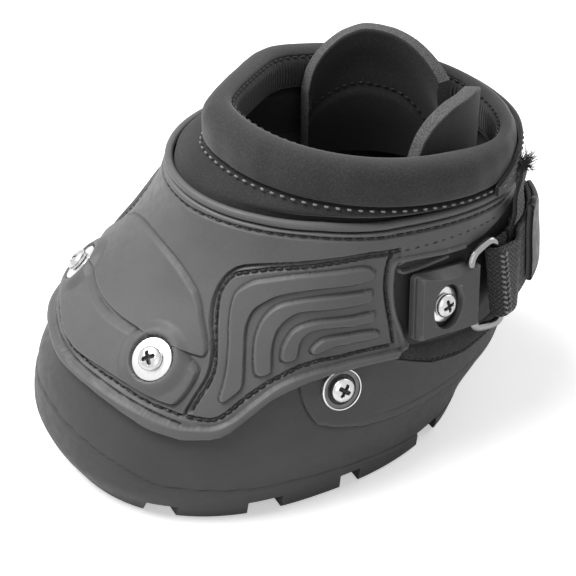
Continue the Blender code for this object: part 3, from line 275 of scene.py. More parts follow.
def mesh_object(name, points, faces, material, uv=None, smooth_shade=True, marks=None):
    """One object from points and faces, in metres; marks pick each face's material."""
    points, faces = np.asarray(points, float), np.asarray(faces, np.int64)
    mesh = bpy.data.meshes.new(name)
    mesh.vertices.add(len(points))
    mesh.vertices.foreach_set("co", points.ravel())
    mesh.loops.add(faces.size)
    mesh.loops.foreach_set("vertex_index", faces.ravel())
    mesh.polygons.add(len(faces))
    mesh.polygons.foreach_set("loop_start", np.arange(0, faces.size, faces.shape[1]))
    mesh.polygons.foreach_set("loop_total", np.full(len(faces), faces.shape[1]))
    mesh.update(calc_edges=True)
    if uv is not None:
        mesh.uv_layers.new(name="Length").data.foreach_set("uv", uv.reshape(-1, 2)[faces.ravel()].ravel())
    for item in material if isinstance(material, list) else [material]:
        mesh.materials.append(item)
    if marks is not None:
        mesh.polygons.foreach_set("material_index", np.asarray(marks, np.int32))
    mesh.validate()
    if smooth_shade:
        mesh.shade_smooth()
    made = bpy.data.objects.new(name, mesh)
    bpy.context.scene.collection.objects.link(made)
    return made


def grid_faces(rows, columns, closed_rows=False, closed_columns=False):
    """Quads over a grid of rows and columns."""
    i = np.arange(rows if closed_rows else rows - 1)
    j = np.arange(columns if closed_columns else columns - 1)
    i, j = np.meshgrid(i, j, indexing="ij")
    i2, j2 = (i + 1) % rows, (j + 1) % columns
    quads = np.stack([i * columns + j, i2 * columns + j, i2 * columns + j2, i * columns + j2], -1)
    return quads.reshape(-1, 4)


def grid_uv(points):
    """Lengths along the rows and columns of a grid, in metres."""
    along = np.linalg.norm(np.diff(points, axis=0), axis=2).mean(1)
    across = np.linalg.norm(np.diff(points, axis=1), axis=2)
    u = np.concatenate([[0], np.cumsum(along)])
    v = np.concatenate([np.zeros((len(points), 1)), np.cumsum(across, axis=1)], 1)
    return np.stack([np.broadcast_to(u[:, None], v.shape), v], -1)


def facing_out(made):
    """Turn every face of a closed mesh outwards."""
    mesh = made.data
    co = np.empty(len(mesh.vertices) * 3)
    mesh.vertices.foreach_get("co", co)
    co = co.reshape(-1, 3)
    mesh.calc_loop_triangles()
    tris = np.empty(len(mesh.loop_triangles) * 3, np.int64)
    mesh.loop_triangles.foreach_get("vertices", tris)
    a, b, c = (co[tris.reshape(-1, 3)[:, k]] for k in range(3))
    if np.einsum("ij,ij->i", a, np.cross(b, c)).sum() < 0:
        mesh.flip_normals()
    return made


def skin(name, outer, inner, material, closed=False, marks=None):
    """A closed sheet: columns run up the outer face and down the inner one."""
    columns = np.concatenate([outer, inner[:, ::-1]], 1)
    count, height = columns.shape[:2]
    faces = [grid_faces(count, height, closed_rows=closed, closed_columns=True)]
    if not closed:
        faces += end_caps(count, height, height // 2)
    faces = np.vstack(faces)
    if marks is not None:
        unmarked = np.zeros((count, height - marks.shape[1]), int)
        marks = np.concatenate([marks, unmarked], 1).ravel()[faces].min(1)
    points = columns.reshape(-1, 3)
    return facing_out(mesh_object(name, points, faces, material, grid_uv(columns), marks=marks))


def end_caps(count, height, rows):
    """Quads that close the first and last of a sheet's columns, between its outer and inner rows."""
    half = np.arange(rows - 1)
    quads = np.stack([half, half + 1, height - 2 - half, height - 1 - half], 1)
    return [quads[:, ::-1], quads + (count - 1) * height]


def rings_round(path, side, up, thick, sides):
    """A ring of points round each point of a path."""
    turn = full_turn(sides)
    thick = np.broadcast_to(thick, len(path))[:, None]
    return (path[:, None] + (np.cos(turn) * thick)[..., None] * side[:, None]
            + (np.sin(turn) * thick)[..., None] * up[:, None])


def tube(name, path, radius, material, sides):
    """A round bar along a level path, closed at both ends."""
    run = unit(np.vstack([path[1:], path[-1:]]) - np.vstack([path[:1], path[:-1]]))
    side = unit(np.cross(run, [0.0, 0.0, 1.0]))
    rings = rings_round(path, side, np.cross(side, run), radius, sides)
    faces = [grid_faces(len(path), sides, closed_columns=True)]
    for k, end in enumerate((0, len(path) - 1)):
        ring = end * sides + np.arange(sides)
        centre = np.full(sides, rings.size // 3 + k)
        cap = np.stack([ring, np.roll(ring, -1), centre, centre], 1)
        faces.append(cap if end else cap[:, ::-1])
    points = np.vstack([rings.reshape(-1, 3), path[0], path[-1]])
    uv = np.vstack([grid_uv(rings).reshape(-1, 2), np.zeros((2, 2))])
    return facing_out(mesh_object(name, points, triangulated(np.vstack(faces)), material, uv))


def triangulated(quads):
    """Quads as triangles, leaving out the ones with no area."""
    halves = np.vstack([quads[:, [0, 1, 2]], quads[:, [0, 2, 3]]])
    whole = (halves[:, 0] != halves[:, 1]) & (halves[:, 1] != halves[:, 2]) & (halves[:, 0] != halves[:, 2])
    return halves[whole]


def lathe(name, profile, matrix, material, sides=64, marks=None):
    """A round piece: a profile of radius and height in millimetres, turned about the frame's Z."""
    profile, turn = np.asarray(profile, float) * MM, full_turn(sides)
    points = np.stack([profile[:, :1] * np.cos(turn), profile[:, :1] * np.sin(turn),
                       np.broadcast_to(profile[:, 1:], (len(profile), sides))], -1)
    quads = grid_faces(len(profile), sides, closed_columns=True)
    made = mesh_object(name, placed(points.reshape(-1, 3), matrix), quads, material,
                       marks=None if marks is None else np.repeat(marks, sides))
    return facing_out(weld(made))


def placed(points, matrix):
    """Points moved by a frame."""
    m = np.array(matrix)
    return points @ m[:3, :3].T + m[:3, 3]


def weld(made, within=1e-6):
    """Merge points that lie on each other."""
    work = bmesh.new()
    work.from_mesh(made.data)
    bmesh.ops.remove_doubles(work, verts=work.verts, dist=within)
    bmesh.ops.dissolve_degenerate(work, edges=work.edges, dist=1e-9)
    work.to_mesh(made.data)
    work.free()
    return made


def sharp(made, degrees):
    """Let edges stay sharp where faces meet at more than an angle."""
    made.data.set_sharp_from_angle(angle=math.radians(degrees))
    return made


def stitches(name, lines, material, length=2.0, gap=0.9, radius=0.32, body="boot", uneven=0.0):
    """A row of thread ends along each line of points with their outward directions."""
    chance = np.random.default_rng(3)
    all_points, all_faces = [], []
    sides, rings = 8, 7
    share = np.linspace(-1, 1, rings)
    thick = radius * MM * np.sqrt(np.clip(1 - (share * 0.97) ** 4, 0.02, 1))
    crown = ((np.sqrt(1 - share ** 2) * 0.9 - 0.35) * radius * MM)[:, None]
    for path, out in lines:
        place = lengths(path) / MM
        for k in range(int(place[-1] // (length + gap))):
            drift, tilt, rise = chance.normal(0, uneven, 3)
            s = np.linspace(0, length, rings) + k * (length + gap) + gap / 2 + drift * 0.6
            outward = unit(along(out, place, s))
            spine = along(path, place, s) + outward * crown
            run = unit(np.gradient(spine, axis=0))
            lean = np.cross(run, outward) * tilt + outward * rise * 0.4
            spine = spine + lean * (share * radius * MM)[:, None] + outward * (rise * 0.2 * MM)
            run = unit(np.gradient(spine, axis=0))
            side = unit(np.cross(run, outward))
            ring = rings_round(spine, side, np.cross(side, run), thick, sides)
            all_faces.append(grid_faces(rings, sides, closed_columns=True) + len(all_points) * rings * sides)
            all_points.append(ring.reshape(-1, 3))
    dress(mesh_object(name, np.vstack(all_points), np.vstack(all_faces), material), body)


def both(points):
    """A wall line on both sides of the toe."""
    points = np.asarray(points, float)
    return [points, points * [-1, 1]]


def wall_path(points, off):
    """A smooth line on the wall, with the directions out of it."""
    run = corners(points)
    return wall(run[:, 0], run[:, 1], off), wall_out(run[:, 0], run[:, 1])


def dress(made, body, node=None):
    """Let a piece ride on its body and stand for its node."""
    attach(made, body)
    if node:
        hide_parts(node)
    return made


# Materials


class Nodes:
    """Short ways to write the nodes of a material or a world."""

    def __init__(self, owner):
        owner.use_nodes = True
        self.owner, self.tree = owner, owner.node_tree
        self.shader = self.tree.nodes.get("Principled BSDF")

    def put(self, socket, value):
        """Link a socket to another one, or give it a fixed value."""
        if isinstance(value, bpy.types.NodeSocket):
            self.tree.links.new(value, socket)
        else:
            socket.default_value = value

    def new(self, kind, inputs=None, **values):
        """A node with its settings and inputs."""
        node = self.tree.nodes.new(kind)
        for key, value in values.items():
            setattr(node, key, value)
        for socket, value in (inputs or {}).items():
            self.put(node.inputs[socket], value)
        return node

    def coords(self, kind="Object"):
        """Texture coordinates."""
        return self.new("ShaderNodeTexCoord").outputs[kind]

    def noise(self, scale, detail=3.0, roughness=0.5, stretch=None):
        """Cloudy texture, in the object's own space, stretched or not."""
        where = self.coords()
        if stretch:
            where = self.new("ShaderNodeMapping", {"Vector": where, "Scale": stretch}).outputs[0]
        return self.new("ShaderNodeTexNoise", {
            "Vector": where, "Scale": scale, "Detail": detail, "Roughness": roughness}).outputs["Fac"]

    def cells(self, scale):
        """Distance to the middle of small cells."""
        return self.new("ShaderNodeTexVoronoi", {"Vector": self.coords(), "Scale": scale}).outputs["Distance"]

    def range(self, value, low, high, start=0.0, end=1.0):
        """A value between start and end, as one between low and high."""
        return self.new("ShaderNodeMapRange", {
            "Value": value, "From Min": start, "From Max": end, "To Min": low, "To Max": high}).outputs[0]

    def math(self, operation, a, b=0.0):
        """One step of arithmetic."""
        return self.new("ShaderNodeMath", {0: a, 1: b}, operation=operation).outputs[0]

    def mix(self, factor, a, b):
        """A colour between two."""
        return self.new("ShaderNodeMix", {0: factor, 6: a, 7: b}, data_type="RGBA").outputs[2]

    def mottled(self, texture, low, high, start=0.3, end=0.7):
        """Greys that follow a texture."""
        return self.mix(self.range(texture, 0.0, 1.0, start, end), grey(low), grey(high))

    def tint(self, colour, texture, value, amount, start, end):
        """A colour that turns grey by an amount, from a texture's start to its end."""
        return self.mix(self.range(texture, 0.0, amount, start, end), colour, grey(value))

    def bump(self, height, strength, size, **more):
        """Small relief."""
        inputs = {"Height": height, "Strength": strength, "Distance": size, **more}
        return self.new("ShaderNodeBump", inputs).outputs[0]

    def set(self, **values):
        """Set the shader's own inputs, and give the material."""
        for key, value in values.items():
            self.put(self.shader.inputs[key.replace("_", " ")], value)
        return self.owner


def new_material(name):
    """The nodes of a new material."""
    return Nodes(bpy.data.materials.new(name))


def grey(value):
    """A neutral colour."""
    return (value, value, value, 1.0)


def rubber(name, value, roughness=0.5, grain=0.25, edge=1.5, shine=0.3):
    """Moulded rubber: a fine matt grain and faint mottling, with a painted highlight on its sharp edges and
    painted shade in its creases.
    """
    n = new_material(name)
    bend = n.new("ShaderNodeNewGeometry").outputs["Pointiness"]
    colour = n.mottled(n.noise(45.0), value * 0.9, value * 1.1)
    colour = n.tint(colour, n.noise(900.0, 4.0, 0.6), value * 1.25, 0.3, 0.35, 0.7)
    # Painted highlight: sharp outward edges turn lighter, by the edge factor.
    colour = n.tint(colour, bend, value * edge, 0.75, 0.512, 0.57)
    # Painted shade: creases and hollows turn dark.
    colour = n.mix(n.range(bend, 1.0, 0.0, 0.44, 0.494), colour, grey(value * 0.18))
    rough = n.range(n.noise(300.0), roughness - 0.07, roughness + 0.09, 0.3, 0.7)
    pores = n.bump(n.noise(2600.0, 2.0, 0.6), grain, 0.00006)
    waves = n.bump(n.noise(160.0, 2.0), 0.12, 0.0002, Normal=pores)
    return n.set(Base_Color=colour, Roughness=rough, Normal=waves, Specular_IOR_Level=shine)


def knit(name, value, scale=1500.0, sheen=0.35, shade_heights=None):
    """Neoprene with a fine knitted face: tiny loops, lint and a soft sheen; with shade heights given, painted
    shade darkens it further down inside the boot.
    """
    n = new_material(name)
    loops, lint = n.cells(scale), n.noise(520.0, 5.0, 0.7)
    colour = n.mottled(n.noise(60.0), value * 0.85, value * 1.15)
    colour = n.tint(colour, lint, value * 1.8, 0.4, 0.5, 0.75)
    colour = n.tint(colour, n.noise(2400.0, 3.0, 0.7), value * 2.0, 0.55, 0.5, 0.72)
    colour = n.tint(colour, loops, value * 0.5, 0.5, 0.2, 0.6)
    # Painted shade: near black below the lower of the shade heights, fading out at the upper one.
    if shade_heights:
        level = n.new("ShaderNodeSeparateXYZ", {"Vector": n.coords()}).outputs[2]
        colour = n.mix(n.range(level, 0.8, 0.0, *shade_heights), colour, grey(0.004))
    height = n.math("ADD", n.math("MULTIPLY", loops, 0.6), n.math("MULTIPLY", lint, 0.8))
    return n.set(Base_Color=colour, Roughness=n.range(lint, 0.8, 0.95, 0.3, 0.7),
                 Normal=n.bump(height, 0.35, 0.00022), Sheen_Weight=sheen, Sheen_Roughness=0.45,
                 Sheen_Tint=grey(0.75), Specular_IOR_Level=0.2)


def foam(name, value):
    """A cut edge of foam: pale, with open pores."""
    n = new_material(name)
    pores, speck = n.cells(1500.0), n.noise(1900.0, 4.0, 0.75)
    colour = n.mottled(pores, value * 0.6, value * 1.15, 0.1, 0.55)
    colour = n.tint(colour, speck, value * 2.4, 0.9, 0.5, 0.68)
    return n.set(Base_Color=colour, Roughness=n.range(speck, 0.85, 0.97), Normal=n.bump(pores, 0.6, 0.0003),
                 Specular_IOR_Level=0.2)


def weave(name, value, lengthwise=560.0, across=620.0):
    """Chunky webbing: yarns that pass over and under each other, with loose fibres."""
    n = new_material(name)
    split = n.new("ShaderNodeSeparateXYZ", {"Vector": n.coords("UV")})
    wobble = n.math("MULTIPLY", n.noise(500.0, 2.0), 0.9)
    warp, weft = (n.math("SINE", n.math("ADD", n.math("MULTIPLY", way, yarns * 2 * math.pi), wobble))
                  for way, yarns in ((split.outputs[0], lengthwise), (split.outputs[1], across)))
    over, fibre = n.math("MULTIPLY", warp, weft), n.noise(5200.0, 3.0, 0.7)
    colour = n.mottled(over, value * 0.45, value * 1.3, -0.7, 0.8)
    colour = n.tint(colour, n.noise(900.0, 4.0, 0.7), value * 2.6, 0.6, 0.52, 0.72)
    height = n.math("ADD", over, n.math("MULTIPLY", fibre, 0.8))
    return n.set(Base_Color=colour, Roughness=n.range(fibre, 0.62, 0.9), Normal=n.bump(height, 0.8, 0.00035),
                 Specular_IOR_Level=0.35, Sheen_Weight=0.25, Sheen_Roughness=0.5)


def steel(name, value, roughness, brushed=0.15):
    """Plain steel: bright, with fine scratches and smudges."""
    n = new_material(name)
    scratch = n.noise(1.0, 3.0, 0.6, (4000.0, 260.0, 900.0))
    smudge = n.noise(420.0, 4.0, 0.6)
    rough = n.math("ADD", n.range(smudge, roughness * 0.75, roughness * 1.4, 0.3, 0.7),
                   n.math("MULTIPLY", scratch, brushed * 0.4))
    return n.set(Base_Color=n.mottled(smudge, value, value * 0.86, 0.35), Roughness=rough, Metallic=1.0,
                 Normal=n.bump(scratch, brushed, 0.00003))


def thread(name, value, painted_glint=1.6):
    """Twisted sewing thread with paler flecks, which are painted glints of light."""
    n = new_material(name)
    strands = n.noise(3000.0, 2.0, 0.6)
    colour = n.mottled(strands, value * 0.5, value * 1.5)
    # Painted highlight: paler flecks that stand for glints on the twisted thread.
    colour = n.tint(colour, n.noise(700.0, 3.0, 0.7), value * painted_glint, 1.0, 0.6, 0.68)
    return n.set(Base_Color=colour, Roughness=n.range(strands, 0.5, 0.75), Specular_IOR_Level=0.4,
                 Normal=n.bump(strands, 0.6, 0.0001))


# Each rubber's fourth number sets how light its painted edge highlight is.
GAITER = rubber("gaiter_face", 0.1, 0.46, 0.2, 1.7)
# Painted shade: a darker copy of the gaiter rubber for the recess under the bracket.
GAITER_RECESS_SHADE = rubber("gaiter_recess_painted_shade", 0.022, 0.55, 0.25, 1.5)
SHELL = rubber("shell_face", 0.052, 0.5, 0.25, 1.6)
COUNTER = rubber("counter_face", 0.06, 0.5, 0.25, 1.5)
PIPING = rubber("piping_face", 0.1, 0.45, 0.15, 1.5)
BRACKET = rubber("bracket_face", 0.07, 0.4, 0.12, 2.2)
TAB = rubber("tab_face", 0.045, 0.42, 0.15, 1.8)
NEOPRENE = knit("collar_face", 0.034)
ROLL = knit("roll_face", 0.042, 1400.0, 0.35)
# Painted shade: the flaps' knit darkens below 101 mm, inside the boot.
FLAP_FACE = knit("flap_face", 0.036, 1500.0, 0.25, (0.084, 0.101))
FOAM_EDGE = foam("foam_edge", 0.085)
ELASTIC = knit("elastic_face", 0.045, 1200.0, 0.2)
WEB = weave("webbing_face", 0.02)
# Painted highlight: black thread with strong pale flecks for its glints.
THREAD = thread("black_thread", 0.01, 16.0)
# Painted highlight: thread grey all over, standing for the glints on its stitches.
GLINT = thread("painted_glint_thread", 0.2)
FRAY = thread("loose_fibre", 0.03, 3.0)
WASHER = steel("washer_face", 0.85, 0.22)
SCREW = steel("screw_face", 0.68, 0.22, 0.08)
WIRE = steel("wire_face", 0.36, 0.16, 0.1)
# Painted shade: dark steel for the cupped washers' dishes.
DISH_SHADE = steel("dish_painted_shade", 0.17, 0.4)
# Painted shade: dark steel for the screws' cross recesses and the cupped washers' middles.
RECESS = steel("recess_painted_shade", 0.07, 0.5)

# The gaiter, its lines as angle and height pairs on one side

FRONT_SCREW, REAR_SCREW, STRAP_SCREW = (31.9, 51.2), (92.0, 43.1), (110.6, 59.2)
LIP_EDGE = [
    (0, 39.5), (9.7, 39.8), (17.5, 39.6), (26.5, 38.5), (34.5, 36.8), (41.5, 35.1), (47.7, 34.4),
    (50.7, 34.0), (56.1, 34.4), (58.8, 34.5), (61.3, 35.2), (63.5, 36.7), (65.5, 38.9), (67.6, 41.2),
    (69.7, 43.3), (71.7, 45.2), (74.1, 46.5), (76.5, 47.6), (79.2, 48.4), (82.0, 49.0), (85.0, 49.2),
    (88.1, 49.5), (90.5, 49.7), (93.7, 49.1), (97.6, 48.2), (101.4, 47.3), (102.6, 50.2), (106, 48.5),
    (115, 45.4), (129, 41.5), (150, 39.5),
]
LIP_CREASE = [(0, 43.3), (6, 43.3), (19.3, 43.1), (32.1, 41.7), (42.7, 39.9), (49, 38.7)]
LIP_RIDGE = [
    (0, 42.2), (6, 42.2), (19.3, 42.1), (32.1, 40.7), (42.7, 39.0), (49.2, 38.2), (54.8, 38.4),
    (58.8, 38.7), (61.2, 39.9), (63.4, 41.5), (66.2, 44.8), (70.1, 48.6), (72.3, 50.1), (74.8, 51.1),
    (77.4, 51.9), (83.1, 52.6), (89.6, 52.6), (92.9, 52.3), (96.7, 51.4), (101.1, 50.3),
]
FRONT_STITCH = [(0, 44.3), (8.2, 44.6), (16.3, 44.6), (25.6, 44.2), (37.6, 42.5), (47.8, 41.1)]
BOTTOM_STITCH = [
    (99.3, 52.4), (97, 53.2), (93.1, 54.0), (89.9, 54.4), (83.0, 54.9), (79.8, 54.6), (76.8, 54.2),
    (74.1, 53.2), (71.6, 52.0), (69.2, 50.8), (67.0, 49.2), (65.0, 47.4), (63.1, 45.4), (61.3, 43.0),
    (59.3, 41.1), (56.8, 40.3), (52.4, 40.5), (47.8, 41.1),
]
GROOVE = [
    (49.2, 41.6), (49.4, 45.0), (49.7, 48.2), (49.8, 51.5), (48.3, 56.0), (44.7, 60.8), (40.3, 65.5),
    (37.3, 69.9), (36.2, 74.4), (37.3, 78.4), (41.4, 81.2), (51.7, 83.1), (62.0, 84.1), (74.2, 84.8),
    (85.5, 84.8), (93.9, 83.6),
]
PANEL_STITCH = [
    (50.4, 42.4), (51.0, 46.7), (51.3, 50.4), (50.0, 54.9), (45.7, 61.0), (41.7, 65.8), (38.4, 70.9),
    (37.6, 74.4), (39.0, 78.0), (44.2, 79.9), (52.4, 81.7), (62.7, 82.8), (74.9, 83.6), (86.2, 83.8),
    (92.8, 82.8),
]
TOP_STITCH = [(92.8, 82.8), (96, 82.6), (110, 81.0), (130, 78.6)]
RIGHT_STITCH = [
    (92.8, 82.7), (92.7, 79.8), (93.9, 74.2), (95.6, 68.2), (97.6, 61.2), (98.9, 56.0), (99.9, 52.1),
]
RIM = [
    (102.8, 49.6), (100.8, 55.1), (98.4, 61.9), (96.5, 68.6), (95.2, 73.8), (94.2, 78.4), (95.0, 79.9),
    (100.2, 79.0), (103.7, 78.2), (108, 77.1), (115, 75.7),
]
RECESS_LINE = [
    (103.6, 49.6), (101.7, 55.1), (99.3, 61.9), (97.4, 68.6), (96.1, 73.8), (95.4, 78.0), (100.2, 78.2),
    (108, 76.3), (114, 75.0), (122, 75.2), (156, 75.0), (156, 35), (130, 35), (104, 42),
]
FIN = [(96.7, 75.9), (98.3, 74.6), (103, 74.2), (106.6, 74.2), (110.8, 74.0)]
BEAD_STITCH = [
    (0, 92.0), (11.8, 92.0), (26, 92.4), (40, 92.4), (53.8, 92.2), (68, 91.3), (89, 88.9), (101, 87.0),
    (133, 82.2), (150, 81.0),
]
BAND_1 = [
    (56.6, 46.3), (55.5, 50.1), (53.4, 55.4), (50.1, 60.9), (46.8, 65.2), (44.0, 69.8), (43.0, 73.9),
    (45.1, 76.6), (49.4, 78.5), (62.1, 80.8), (79.3, 81.4), (86.5, 80.8), (90.0, 79.2), (90.7, 77.5),
    (90.1, 76.4), (86.3, 76.2), (71.5, 76.5), (60.1, 75.2), (55.3, 73.2), (52.3, 70.4), (52.3, 67.1),
    (54.0, 63.5), (57.2, 58.4), (60.4, 52.5), (61.4, 49.5), (59.9, 47.2), (58.3, 45.8),
]
BAND_2 = [
    (62.2, 54.6), (59.0, 59.8), (57.1, 63.8), (56.6, 68.3), (58.9, 71.7), (63.9, 73.3), (74.7, 74.2),
    (90.0, 73.3), (91.8, 71.8), (92.2, 70.3), (91.0, 69.4), (82.4, 69.9), (70.0, 70.2), (65.7, 68.8),
    (63.8, 66.2), (63.8, 63.5), (65.0, 60.1), (67.7, 54.6), (67.5, 53.2), (65.2, 52.6), (63.4, 53.2),
]
BAND_3 = [
    (68.6, 58.0), (67.8, 61.5), (68.7, 64.9), (72.0, 66.6), (78.6, 67.2), (92.5, 65.8), (93.7, 64.7),
    (93.8, 63.3), (92.8, 62.7), (85.3, 64.0), (78.2, 64.5), (74.4, 63.6), (73.4, 61.6), (74.1, 58.5),
    (73.9, 56.8), (71.7, 56.2), (69.8, 56.6),
]
BAND_4 = [
    (77.9, 58.8), (79.8, 61.1), (82.9, 61.7), (90.1, 61.1), (94.5, 59.6), (95.7, 58.4), (95.6, 57.3),
    (94.4, 57.1), (90.4, 58.0), (86.0, 58.4), (82.1, 57.6), (79.4, 57.4),
]
PAD = [
    (0, 56.4), (4.7, 56.5), (20.7, 57.1), (31.8, 56.5), (39.7, 55.8), (45.3, 53.8), (46.6, 51.8),
    (46.6, 47.8), (45.6, 44.8), (43.8, 43.8), (36.9, 44.5), (29, 45.5), (20.5, 46.1), (13.5, 46.0),
    (5.7, 45.5), (0, 45.4),
]
CREST = [
    (0, 57.8), (10, 57.9), (21.0, 57.9), (33.6, 57.3), (41.1, 56.9), (45.0, 57.0), (44.6, 59.0),
    (41.7, 61.8), (37.0, 65.6), (33.0, 69.0), (27.0, 72.4), (15.0, 76.0), (0, 77.4),
]

PANEL_END = [(95.6, 78.5), (98.6, 68.2), (100.6, 61.2), (102, 56), (103, 51)]
LIP_FOOT = [(102, 44), (62, 26), (0, 30)]

# The gaiter's relief in millimetres: faces off the wall, then rises and depths against them.
GAITER_FACE, RECESS_FACE, LEAST_FACE = 3.0, 0.8, 0.6
LIP_RISE, LIP_ROUND, LIP_ROUND_WIDTH, CREASE_DEPTH = 1.25, 1.9, 2.2, 0.9
PANEL_DEPTH, GROOVE_DEPTH, CHANNEL_DEPTH, BEAD_CHANNEL_DEPTH = 0.5, 1.4, 1.05, 0.85
BAND_RISE, PAD_RISE, CREST_RISE, RIM_RISE, FIN_RISE = 1.3, 1.9, 1.3, 0.95, 1.5
PAD_LEVEL, SEAT_LEVEL = 4.65, 3.25


def mirror_closed(points):
    """A half outline that starts and ends at the toe, made whole."""
    return points + [(-a, h) for a, h in points[::-1] if a > 0]


def gaiter_offset(angle, height):
    """How far the gaiter's outer face stands off the wall, in millimetres."""
    field = Field(angle, height)
    off = np.full(field.angle.shape, GAITER_FACE)

    # The rounded lip, its crease and the ridge under the stitches.
    foot = np.arange(0, 150.4, 0.3)
    rise = distance(field.place, wall(foot, edge(LIP_EDGE, foot), FACE))
    lip = LIP_RISE * ramp(-field.area(LIP_RIDGE + LIP_FOOT), -0.2, 0.5)
    lip -= LIP_ROUND * fade(rise, LIP_ROUND_WIDTH) ** 2
    off += lip * ramp(field.angle, 102.2, 100.8) - CREASE_DEPTH * ramp(field.line(LIP_CREASE), 0.6, 0.1)

    # The side panel: a groove along its border, then its own lower face with the raised bands.
    panel = field.area(GROOVE + PANEL_END + LIP_RIDGE[:5:-1])
    off -= PANEL_DEPTH * ramp(-panel, -0.2, 0.4) + GROOVE_DEPTH * ramp(field.line(GROOVE), 0.8, 0.3)
    for line in (PANEL_STITCH, RIGHT_STITCH, BOTTOM_STITCH, FRONT_STITCH):
        off -= CHANNEL_DEPTH * ramp(field.line(line), 0.8, 0.4)
    for outline in (BAND_1, BAND_2, BAND_3, BAND_4):
        away = field.area(outline)
        off += BAND_RISE * ramp(-away, 0.0, 0.6) - 0.25 * bell(away, 0.2, 0.3)

    # The front: the pad with its washer seats, and the raised panel above it.
    for outline, up, slope in ((PAD, PAD_RISE, 1.2), (CREST, CREST_RISE, 0.9)):
        away = field.area(mirror_closed(outline))
        off += up * ramp(-away, -0.2, slope) - 0.35 * bell(away, 0.5, 0.3)

    # The channel under the bead, and the recess that the bracket sits in, with its rim and fin.
    off -= BEAD_CHANNEL_DEPTH * ramp(field.line(BEAD_STITCH), 0.8, 0.4)
    recess = ramp(-field.area(RECESS_LINE), -0.1, 0.6)
    off = off * (1 - recess) + RECESS_FACE * recess
    off += RIM_RISE * ramp(field.line(RIM), 0.95, 0.3) + FIN_RISE * ramp(field.line(FIN), 0.9, 0.35)
    return np.maximum(off, LEAST_FACE)


def washer_seats(points):
    """Level the pad round the front washers and sink their seats into it."""
    base = np.array(frame_on_wall(*FRONT_SCREW))
    mirror = np.where(points[..., :1] < 0, [-1, 1, 1], [1, 1, 1])
    own = (points * mirror - base[:3, 3]) @ base[:3, :3] / MM
    away = np.hypot(own[..., 0] + 0.3, own[..., 1] - 0.3)
    for level, radius, slope_end in ((PAD_LEVEL, 8.6, 13.0), (SEAT_LEVEL, 7.5, 7.8)):
        share = ramp(away, slope_end, radius) * (own[..., 2] > -6)
        own[..., 2] += (level - own[..., 2]) * share
    return (own @ base[:3, :3].T * MM + base[:3, 3]) * mirror


def make_gaiter():
    """The moulded upper, with its lip, channels, bands, pad and recess."""
    fine = GRID * 0.75
    angles, rows = np.linspace(-150, 150, int(330 / fine) + 1), int(58 / fine)
    low, high = edge(LIP_EDGE, angles), edge(GAITER_UPPER, angles)
    angle, height = spread(angles, low, high, rows)
    off = gaiter_offset(angle, height)
    inner_angle, inner_height = spread(angles, low, high, 40)
    beside = turned(inner_angle)
    hanging = ramp(inner_height, 55, 52) * ramp(beside, 80, 84) * ramp(beside, 103, 101)
    inner = resample(wall(inner_angle, inner_height, 0.35 + 2.0 * hanging), rows)
    outer = washer_seats(wall(angle, height, off))
    # Painted shade: the faces sunk in the bracket's recess take the darker recess rubber.
    sunk = (off < 1.3) & (turned(angle) > 94)
    made = skin("gaiter", outer, inner, [GAITER, GAITER_RECESS_SHADE], marks=sunk.astype(int))
    dress(made, "boot", "front_gaiter")
    rows_of_thread = (PANEL_STITCH, RIGHT_STITCH, BOTTOM_STITCH)
    lines = [wall_path(line, 2.3) for points in rows_of_thread for line in both(points)]
    lines.append(wall_path(FRONT_STITCH[::-1] + [(-a, h) for a, h in FRONT_STITCH[1:]], 2.3))
    stitches("gaiter_stitches", lines, THREAD, 2.3, 0.35, 0.38, uneven=0.3)
    bead = [(a, edge(BEAD_STITCH, a)) for a in np.arange(-140, 141, 4.0)]
    lines = [wall_path(bead, 2.3)] + [wall_path(line, 2.6) for line in both(TOP_STITCH)]
    stitches("gaiter_top_stitches", lines, THREAD, 2.5, 1.1, 0.36, uneven=0.2)


def resample(points, rows):
    """The same columns with another number of rows."""
    place = np.linspace(0, points.shape[1] - 1, rows)
    low = np.clip(place.astype(int), 0, points.shape[1] - 2)
    t = (place - low)[None, :, None]
    return points[:, low] * (1 - t) + points[:, low + 1] * t


def make_piping():
    """The rolled bead on the gaiter's top edge."""
    angles = np.linspace(-150, 150, 260)
    path = wall(angles, edge(GAITER_UPPER, angles) + 1.75, 1.7)
    dress(tube("piping", path, 1.45 * MM, PIPING, 18), "boot", "gaiter_piping")


# The shell

PARTING = [
    (0, 24.0), (20, 22.0), (34.4, 19.0), (46.5, 15.0), (58.5, 14.0), (74, 12.5), (87, 11.5), (97, 9.3),
    (115, 6.0), (140, 4.5), (180, 4.0),
]

# The tread in millimetres: the gaps' places along the boot, how high the cuts reach, and the toe's roll.
LUG_GAPS = [(-57.5, -49.0), (-27.8, -16.0), (5.6, 13.4), (39.9, 50.4)]
GAP_TOP, GAP_REACH, CUT_BELOW = 6.2, 20.0, -4.0
SOLE_HOLLOW, HEEL_GAP = (-34.0, 34.0, -36.0, 58.0, 3.0), (-16.0, 16.0, 54.0, 112.5, 5.0)
TOE_ROLL_START, TOE_ROLL_SLOPE = 0.047, 0.25


def shell_offset(angle, height):
    """The shell's outer face: parting line, groove below the counter and round-over at the foot."""
    away = turned(angle)
    above = height - edge(PARTING, away)
    off = 0.3 * ramp(above, 0.3, -0.3) - 0.3 * bell(above, 0.5, 0.35)
    below = edge(COUNTER_LOWER, np.maximum(away, 79)) - height
    off -= 0.6 * bell(below, 0.2, 0.45) * ramp(away, 79, 81)
    return off - 0.8 * fade(height, 1.2) ** 2


